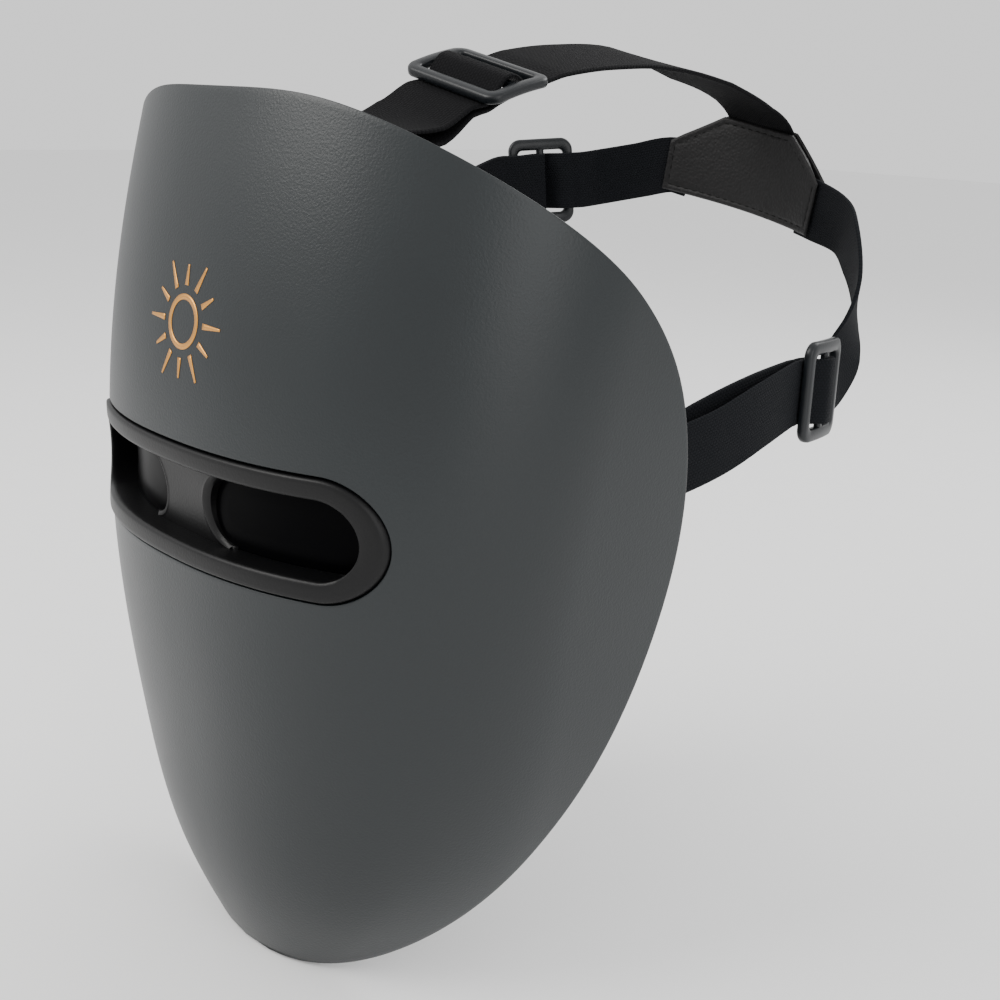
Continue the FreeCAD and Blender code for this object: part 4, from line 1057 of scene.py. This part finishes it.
right_rows = [(yoke_point(-24, -2.7), yoke_up), (yoke_point(-31, -2.7), yoke_up),
              (Vector((-40, 169.5, 74.6)), yoke_up), (Vector((-47.5, 160, 72.2)), right_upright)]
right_rows += both(slider_points("right", OVER_BAR), right_upright)
right_rows += [(Vector((-70.5, 117, 62)), Vector((0, -0.4, 0.9))), (Vector((-73, 101, 48)), steep),
               (Vector((-73.5, 84, 30)), steep), (Vector((-72.6, 68, 14)), Vector((0, -0.35, 0.9)))]
right_rows += both(wrap_points(right_bar, Vector((0, 1, 0)), Vector((-1, 0, -0.108)).normalized(), 2.6, 3.1),
                   (-0.108, 0, 1))
right_rows += [(Vector((-67.6, 68, 14.5)), Vector((0, -0.35, 0.9))), (Vector((-69, 84, 31)), steep),
               (Vector((-69, 101, 49.5)), steep), (Vector((-67, 116, 62.5)), Vector((0, -0.4, 0.9)))]
right_rows += both(slider_points("right", UNDER_BAR), right_upright)


def strap_stations(rows, steps):
    points = [row[0] for row in rows]
    stations = []
    for i in range(len(rows) - 1):
        before = points[max(i - 1, 0)]
        after = points[min(i + 2, len(rows) - 1)]
        reach = (points[i + 1] - points[i]).length
        slope_a = (points[i + 1] - before) * (reach / max((points[i + 1] - before).length, 0.01))
        slope_b = (after - points[i]) * (reach / max((after - points[i]).length, 0.01))
        for j in range(steps):
            u = j / steps
            spot = (points[i] * (2 * u**3 - 3 * u**2 + 1) + slope_a * (u**3 - 2 * u**2 + u)
                    + points[i + 1] * (3 * u**2 - 2 * u**3) + slope_b * (u**3 - u**2))
            stations.append((spot, rows[i][1] * (1 - u) + rows[i + 1][1] * u))
    stations.append(rows[-1])
    return stations


def strap_piece(name, stations, width):
    """Webbing of real thickness along the stations, its weave laid out in millimetres."""
    count = len(stations) - 1
    lengths = [0.0]
    frames = []
    for i, (spot, across) in enumerate(stations):
        if i:
            lengths.append(lengths[-1] + (spot - stations[i - 1][0]).length)
        ahead = (stations[min(i + 1, count)][0] - stations[max(i - 1, 0)][0]).normalized()
        side = (across - ahead * across.dot(ahead)).normalized()
        frames.append((spot, side, ahead.cross(side)))

    half = STRAP_THICK / 2
    section = [(-a, -b) for a, b in STRAP_UPPER] + STRAP_UPPER

    def place(u, v):
        spot, side, lift = frames[round(v * count)]
        a, b = section[round(u * len(section)) % len(section)]
        return (spot + side * a * width / 2 + lift * b * half) * MM
    strap = grid_piece(name, len(section), count, place)
    strap_uv = strap.data.uv_layers[0].data
    for loop in strap.data.loops:
        u, v = strap_uv[loop.index].uv
        a = section[round(u * len(section)) % len(section)][0]
        strap_uv[loop.index].uv = (a * width / 2 + 100, lengths[min(round(v * count), count)])
    edit(strap, (bpy.ops.mesh.remove_doubles, {"threshold": MERGE_GAP}))
    make_active(strap)
    bpy.ops.object.mode_set(mode="EDIT")
    bpy.ops.mesh.select_all(action="SELECT")
    bpy.ops.mesh.fill_holes(sides=0)
    bpy.ops.object.mode_set(mode="OBJECT")
    face_out(strap)
    smooth(strap, 40)
    return strap


for side_name, rows, finish in (("top", top_rows, black_webbing), ("left", left_rows, side_webbing),
                                ("right", right_rows, side_webbing)):
    bar_top = slider_points(side_name, [BAR_TOP])[0]
    hump = next(i for i, row in enumerate(rows) if (row[0] - bar_top).length < 0.01) * STRAP_STEPS
    stations = strap_stations(rows, STRAP_STEPS)
    band = strap_piece(f"{side_name}_strap_band", stations[:hump + 1], STRAP_WIDTH[side_name])
    loop = strap_piece(f"{side_name}_strap_loop", stations[hump:], STRAP_WIDTH[side_name])
    centre, _, along, _ = SLIDERS[side_name]
    for piece in (band, loop):
        piece.data.materials.clear()
        piece.data.materials.append(finish)
    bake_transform(band)
    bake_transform(loop)
    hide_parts(f"{side_name}_strap")
    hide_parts(f"{side_name}_strap")


CORNER_SIGNS = [(1, 1), (-1, 1), (-1, -1), (1, -1)]
CORNER_SHARE = 0.6


def corner_point(corner, turn, half_x, half_y, radius):
    sign_x, sign_y = CORNER_SIGNS[corner % 4]
    return (sign_x * (half_x - radius) + radius * math.cos(turn),
            sign_y * (half_y - radius) + radius * math.sin(turn))


def rounded_rectangle(share, half_x, half_y, radius):
    """Point at a share of the way round, by matched corners and sides."""
    corner = int((share % 1.0) * 4)
    within = (share % 1.0) * 4 - corner
    start = corner * math.pi / 2
    if within < CORNER_SHARE:
        return corner_point(corner, start + within / CORNER_SHARE * math.pi / 2, half_x, half_y, radius)
    step = (within - CORNER_SHARE) / (1 - CORNER_SHARE)
    a = corner_point(corner, start + math.pi / 2, half_x, half_y, radius)
    b = corner_point(corner + 1, start + math.pi / 2, half_x, half_y, radius)
    return lerp(a[0], b[0], step), lerp(a[1], b[1], step)


BUCKLE_MARGIN = 5
BUCKLE_PLAY = 1.2
BUCKLE_HALF_LONG = 11.0
BUCKLE_HALF_THICK = 1.4
BUCKLE_RAIL = 3.2
BUCKLE_CORNERS = (4.0, 1.6)
BUCKLE_LOOPS = 120
BUCKLE_ROUND = 16
BAR_HALF = (1.3, 1.05)


def squared(value, power):
    """A sine or cosine pushed out towards 1 and -1, which makes a round section squarer."""
    return math.copysign(abs(value) ** power, value)


def buckle_piece(name, side_name):
    """A three-bar slider: a rounded frame, slightly arched, with a bar across its middle."""
    centre, x, y, z = SLIDERS[side_name]
    outer_half = STRAP_WIDTH[side_name] / 2 + BUCKLE_MARGIN
    inner_half = STRAP_WIDTH[side_name] / 2 + BUCKLE_PLAY

    def local(a, b, c):
        arch = 0.35 - 0.7 * (b / BUCKLE_HALF_LONG) ** 2
        return (centre + x * a + y * b + z * (c + arch)) * MM
    loops = []
    for i in range(BUCKLE_LOOPS):
        outer = rounded_rectangle(i / BUCKLE_LOOPS, outer_half, BUCKLE_HALF_LONG, BUCKLE_CORNERS[0])
        inner = rounded_rectangle(i / BUCKLE_LOOPS, inner_half, BUCKLE_HALF_LONG - BUCKLE_RAIL,
                                  BUCKLE_CORNERS[1])
        loop = []
        for k in range(BUCKLE_ROUND):
            turn = 2 * math.pi * k / BUCKLE_ROUND
            share = (1 + squared(math.cos(turn), 0.6)) / 2
            lift = BUCKLE_HALF_THICK * squared(math.sin(turn), 0.6)
            loop.append(local(lerp(inner[0], outer[0], share), lerp(inner[1], outer[1], share), lift))
        loops.append(loop)
    ring = sweep(f"{name}_ring", loops)

    def bar_place(u, v):
        turn = 2 * math.pi * v
        wide = squared(math.cos(turn), 0.7) * BAR_HALF[0]
        high = squared(math.sin(turn), 0.7) * BAR_HALF[1]
        return local(lerp(-inner_half - 1, inner_half + 1, u), wide, high)
    bar = grid_piece(f"{name}_bar", 6, BUCKLE_ROUND, bar_place, close=True)
    return join(name, [ring, bar])


for side_name in ("top", "left", "right"):
    buckle = buckle_piece(f"{side_name}_slider", side_name)
    finish_piece(buckle, buckle_plastic, f"{side_name}_buckle", "buckle_plastic", f"{side_name}_buckle")

# Yoke: two padded leather layers with a turned edge and a stitched border
YOKE_CORNERS = [(-32, -11.4), (32, -11.4), (32, 6), (14.2, 17.6), (-14.2, 17.6), (-32, 6)]


def inset_polygon(corners, inset, corner_radius, arc, straight):
    """Points round a convex outline moved in by inset, corners rounded, always the same count."""
    count = len(corners)
    radius = max(corner_radius - inset, 0.3)
    pull = inset + radius
    points = []
    moved = []
    for i in range(count):
        a = Vector(corners[i - 1])
        b = Vector(corners[i])
        c = Vector(corners[(i + 1) % count])
        n1 = Vector((-(b - a).y, (b - a).x)).normalized()
        n2 = Vector((-(c - b).y, (c - b).x)).normalized()
        half = (n1 + n2).normalized()
        centre = b + half * (pull / half.dot(n1))
        moved.append((centre, -n1, -n2))
    for i in range(count):
        centre, n1, n2 = moved[i]
        start = math.atan2(n1.y, n1.x)
        turn = math.atan2(n1.x * n2.y - n1.y * n2.x, n1.dot(n2))
        for k in range(arc):
            angle = start + turn * k / arc
            points.append(centre + Vector((math.cos(angle), math.sin(angle))) * radius)
        begin = centre + n2 * radius
        following = moved[(i + 1) % count]
        stop = following[0] + following[1] * radius
        for k in range(straight):
            points.append(begin.lerp(stop, k / straight))
    return points


# (distance from the outline, lift): a turned edge, the sunk stitch line and the padded middle
EDGE_LIFT = [(0.0, -0.55), (0.15, -0.2), (0.5, 0.05), (1.0, 0.1), (1.5, 0.03), (1.9, -0.2), (2.3, 0.0),
             (3.0, 0.12), (5.0, 0.2), (9.0, 0.26), (16.0, 0.28)]
EDGE_STOPS = [0.0, 0.15, 0.5, 1.0, 1.5, 1.9, 2.3, 3.0, 4.2, 6.0, 8.5, 11.3]


def edge_lift(distance):
    for (a, low), (b, high) in zip(EDGE_LIFT, EDGE_LIFT[1:]):
        if distance <= b:
            return lerp(low, high, (distance - a) / (b - a))
    return EDGE_LIFT[-1][1]


def spread(share, width):
    """Positions from 0 to width, close together near both ends."""
    count = len(EDGE_STOPS)
    total = 2 * count + 5
    step = share * total
    if step < count - 1:
        i = int(step)
        stop = lerp(EDGE_STOPS[i], EDGE_STOPS[i + 1], step - i)
    elif step > total - count + 1:
        return width - spread(1 - share, width)
    else:
        stop = lerp(EDGE_STOPS[-1], width - EDGE_STOPS[-1], (step - count + 1) / (total - 2 * count + 2))
    return stop


def yoke_piece(name, drop, shrink, outwards):
    """One layer; outwards is 1 for the outside skin and -1 for the lining."""
    sides = []
    for a, b in zip(YOKE_CORNERS, YOKE_CORNERS[1:] + YOKE_CORNERS[:1]):
        line = Vector((b[0] - a[0], b[1] - a[1])).normalized()
        sides.append((Vector(a), Vector((-line.y, line.x))))

    def place(u, v):
        low = YOKE_CORNERS[0][1] + shrink
        high = YOKE_CORNERS[3][1] - shrink
        y = low + spread(v, high - low)
        half = YOKE_CORNERS[1][0] - shrink
        if y > YOKE_CORNERS[2][1]:
            rise_share = (y - YOKE_CORNERS[2][1]) / (high - YOKE_CORNERS[2][1])
            half = lerp(half, YOKE_CORNERS[3][0], rise_share)
        x = -half + spread(u, 2 * half)
        distance = min((Vector((x, y)) - corner).dot(inward) for corner, inward in sides) - shrink
        lift = edge_lift(max(distance, 0.0))
        surface = drop if outwards > 0 else drop + YOKE_LAYER
        return yoke_point(x, y, surface - outwards * lift) * MM
    layer = grid_piece(name, 2 * len(EDGE_STOPS) + 5, 2 * len(EDGE_STOPS) + 5, place)
    if layer.data.polygons[300].normal.y * outwards < 0:
        edit(layer, (bpy.ops.mesh.flip_normals, {}))
    apply_modifier(layer, "SOLIDIFY", thickness=0.75 * MM, offset=-1.0)
    smooth(layer, 60)
    return layer


yoke_skin = yoke_piece("yoke_skin", 0.0, 0.0, 1)
finish_piece(yoke_skin, yoke_leather, "mask", "yoke_leather", "yoke_outer")
yoke_back = yoke_piece("yoke_back", LINING_DROP, LINING_SHRINK, -1)
finish_piece(yoke_back, yoke_leather, "mask", "yoke_leather", "yoke_lining")


STITCH_LINE = 1.9
STITCH_PITCH = 3.1
STITCH_LONG = 2.1
STITCH_HALF_THICK = 0.27
STITCH_SINK = 0.25


def stitch_row(name, drop, shrink):
    """Short raised stitches along the sunk line inside the yoke's border."""
    outline = inset_polygon(YOKE_CORNERS, STITCH_LINE + shrink, 3.2, 8, 14)
    path = [yoke_point(p.x, p.y, drop) for p in outline]
    path.append(path[0])
    lengths = [0.0]
    for a, b in zip(path, path[1:]):
        lengths.append(lengths[-1] + (b - a).length)
    count = int(lengths[-1] / STITCH_PITCH)
    stitches = []

    def at(length):
        length %= lengths[-1]
        i = max(k for k in range(len(path) - 1) if lengths[k] <= length)
        return path[i].lerp(path[i + 1], (length - lengths[i]) / max(lengths[i + 1] - lengths[i], 1e-6))
    for i in range(count):
        begin = at(i * lengths[-1] / count)
        stop = at(i * lengths[-1] / count + STITCH_LONG)
        line = (stop - begin).normalized()
        outward = YOKE_TURN @ Vector((0, 1, 0))
        side = line.cross(outward).normalized()
        lift = side.cross(line)

        def place(u, v):
            turn = 2 * math.pi * u
            reach = math.cos(math.pi * (v - 0.5)) ** 0.5 * STITCH_HALF_THICK
            spot = begin.lerp(stop, v)
            return (spot + side * math.cos(turn) * reach + lift * math.sin(turn) * reach) * MM
        stitches.append(grid_piece(f"{name}_{i}", 8, 6, place, close=True))
    return join(name, stitches)


for name, drop, shrink in (("yoke_stitches", STITCH_SINK, 0.0),
                           ("yoke_back_stitches", LINING_DROP + YOKE_LAYER - STITCH_SINK, LINING_SHRINK)):
    finish_piece(stitch_row(name, drop, shrink), yoke_thread, "mask", "yoke_leather")


# ---------------------------------------------------------------- stage and camera
AZIMUTH = math.radians(48.0)
ELEVATION = math.radians(16.1)
ROLL = math.radians(2.1)
CAMERA_PLACE = Vector((305.5, -200.5, 100.1)) * MM
ahead = Vector((-math.sin(AZIMUTH) * math.cos(ELEVATION), math.cos(AZIMUTH) * math.cos(ELEVATION),
                -math.sin(ELEVATION)))
level = Vector((math.cos(AZIMUTH), math.sin(AZIMUTH), 0.0))
upright = level.cross(ahead)
side_axis = level * math.cos(ROLL) + upright * math.sin(ROLL)
up_axis = upright * math.cos(ROLL) - level * math.sin(ROLL)
lens = bpy.data.cameras.new("camera")
lens.lens = 51.34
lens.sensor_width = 36.0
lens.clip_start = 0.01
camera = bpy.data.objects.new("camera", lens)
camera.matrix_world = Matrix((
    (side_axis.x, up_axis.x, -ahead.x, CAMERA_PLACE.x),
    (side_axis.y, up_axis.y, -ahead.y, CAMERA_PLACE.y),
    (side_axis.z, up_axis.z, -ahead.z, CAMERA_PLACE.z),
    (0, 0, 0, 1)))
bpy.context.scene.collection.objects.link(camera)
bpy.context.scene.camera = camera


def softbox(name, place, target, size, power, colour=(1, 1, 1)):
    light = bpy.data.lights.new(name, "AREA")
    light.shape = "RECTANGLE"
    light.size = size[0]
    light.size_y = size[1]
    light.energy = power
    light.color = colour
    lamp = bpy.data.objects.new(name, light)
    lamp.location = place
    lamp.rotation_euler = (Vector(target) - Vector(place)).to_track_quat("-Z", "Y").to_euler()
    bpy.context.scene.collection.objects.link(lamp)


middle = Vector((0.0, 0.03, 0.0))
softbox("key_light", (-0.35, -0.75, 0.75), middle, (0.7, 0.7), 11.0, (1.0, 0.985, 0.96))
softbox("fill_light", (0.95, -0.15, 0.35), middle, (0.6, 0.8), 3.2)
softbox("back_light", (0.1, 0.9, 0.7), middle, (0.8, 0.5), 5.0)

deselect()
bpy.ops.mesh.primitive_plane_add(size=8, location=(0, 0, -0.1315))
floor = bpy.context.active_object
floor.name = "floor"
settle(floor)
pale_floor = material("pale_floor", FINE, linear(244, 244, 244), roughness=0.8, grain_height=0.0, blotch=0.02)
floor.data.materials.append(pale_floor)

world = bpy.data.worlds.new("studio")
world.use_nodes = True
back = next(node for node in world.node_tree.nodes if node.type == "BACKGROUND")
back.inputs["Color"].default_value = (1, 1, 1, 1)
back.inputs["Strength"].default_value = 1.1
bpy.context.scene.world = world

# ---------------------------------------------------------------- finish
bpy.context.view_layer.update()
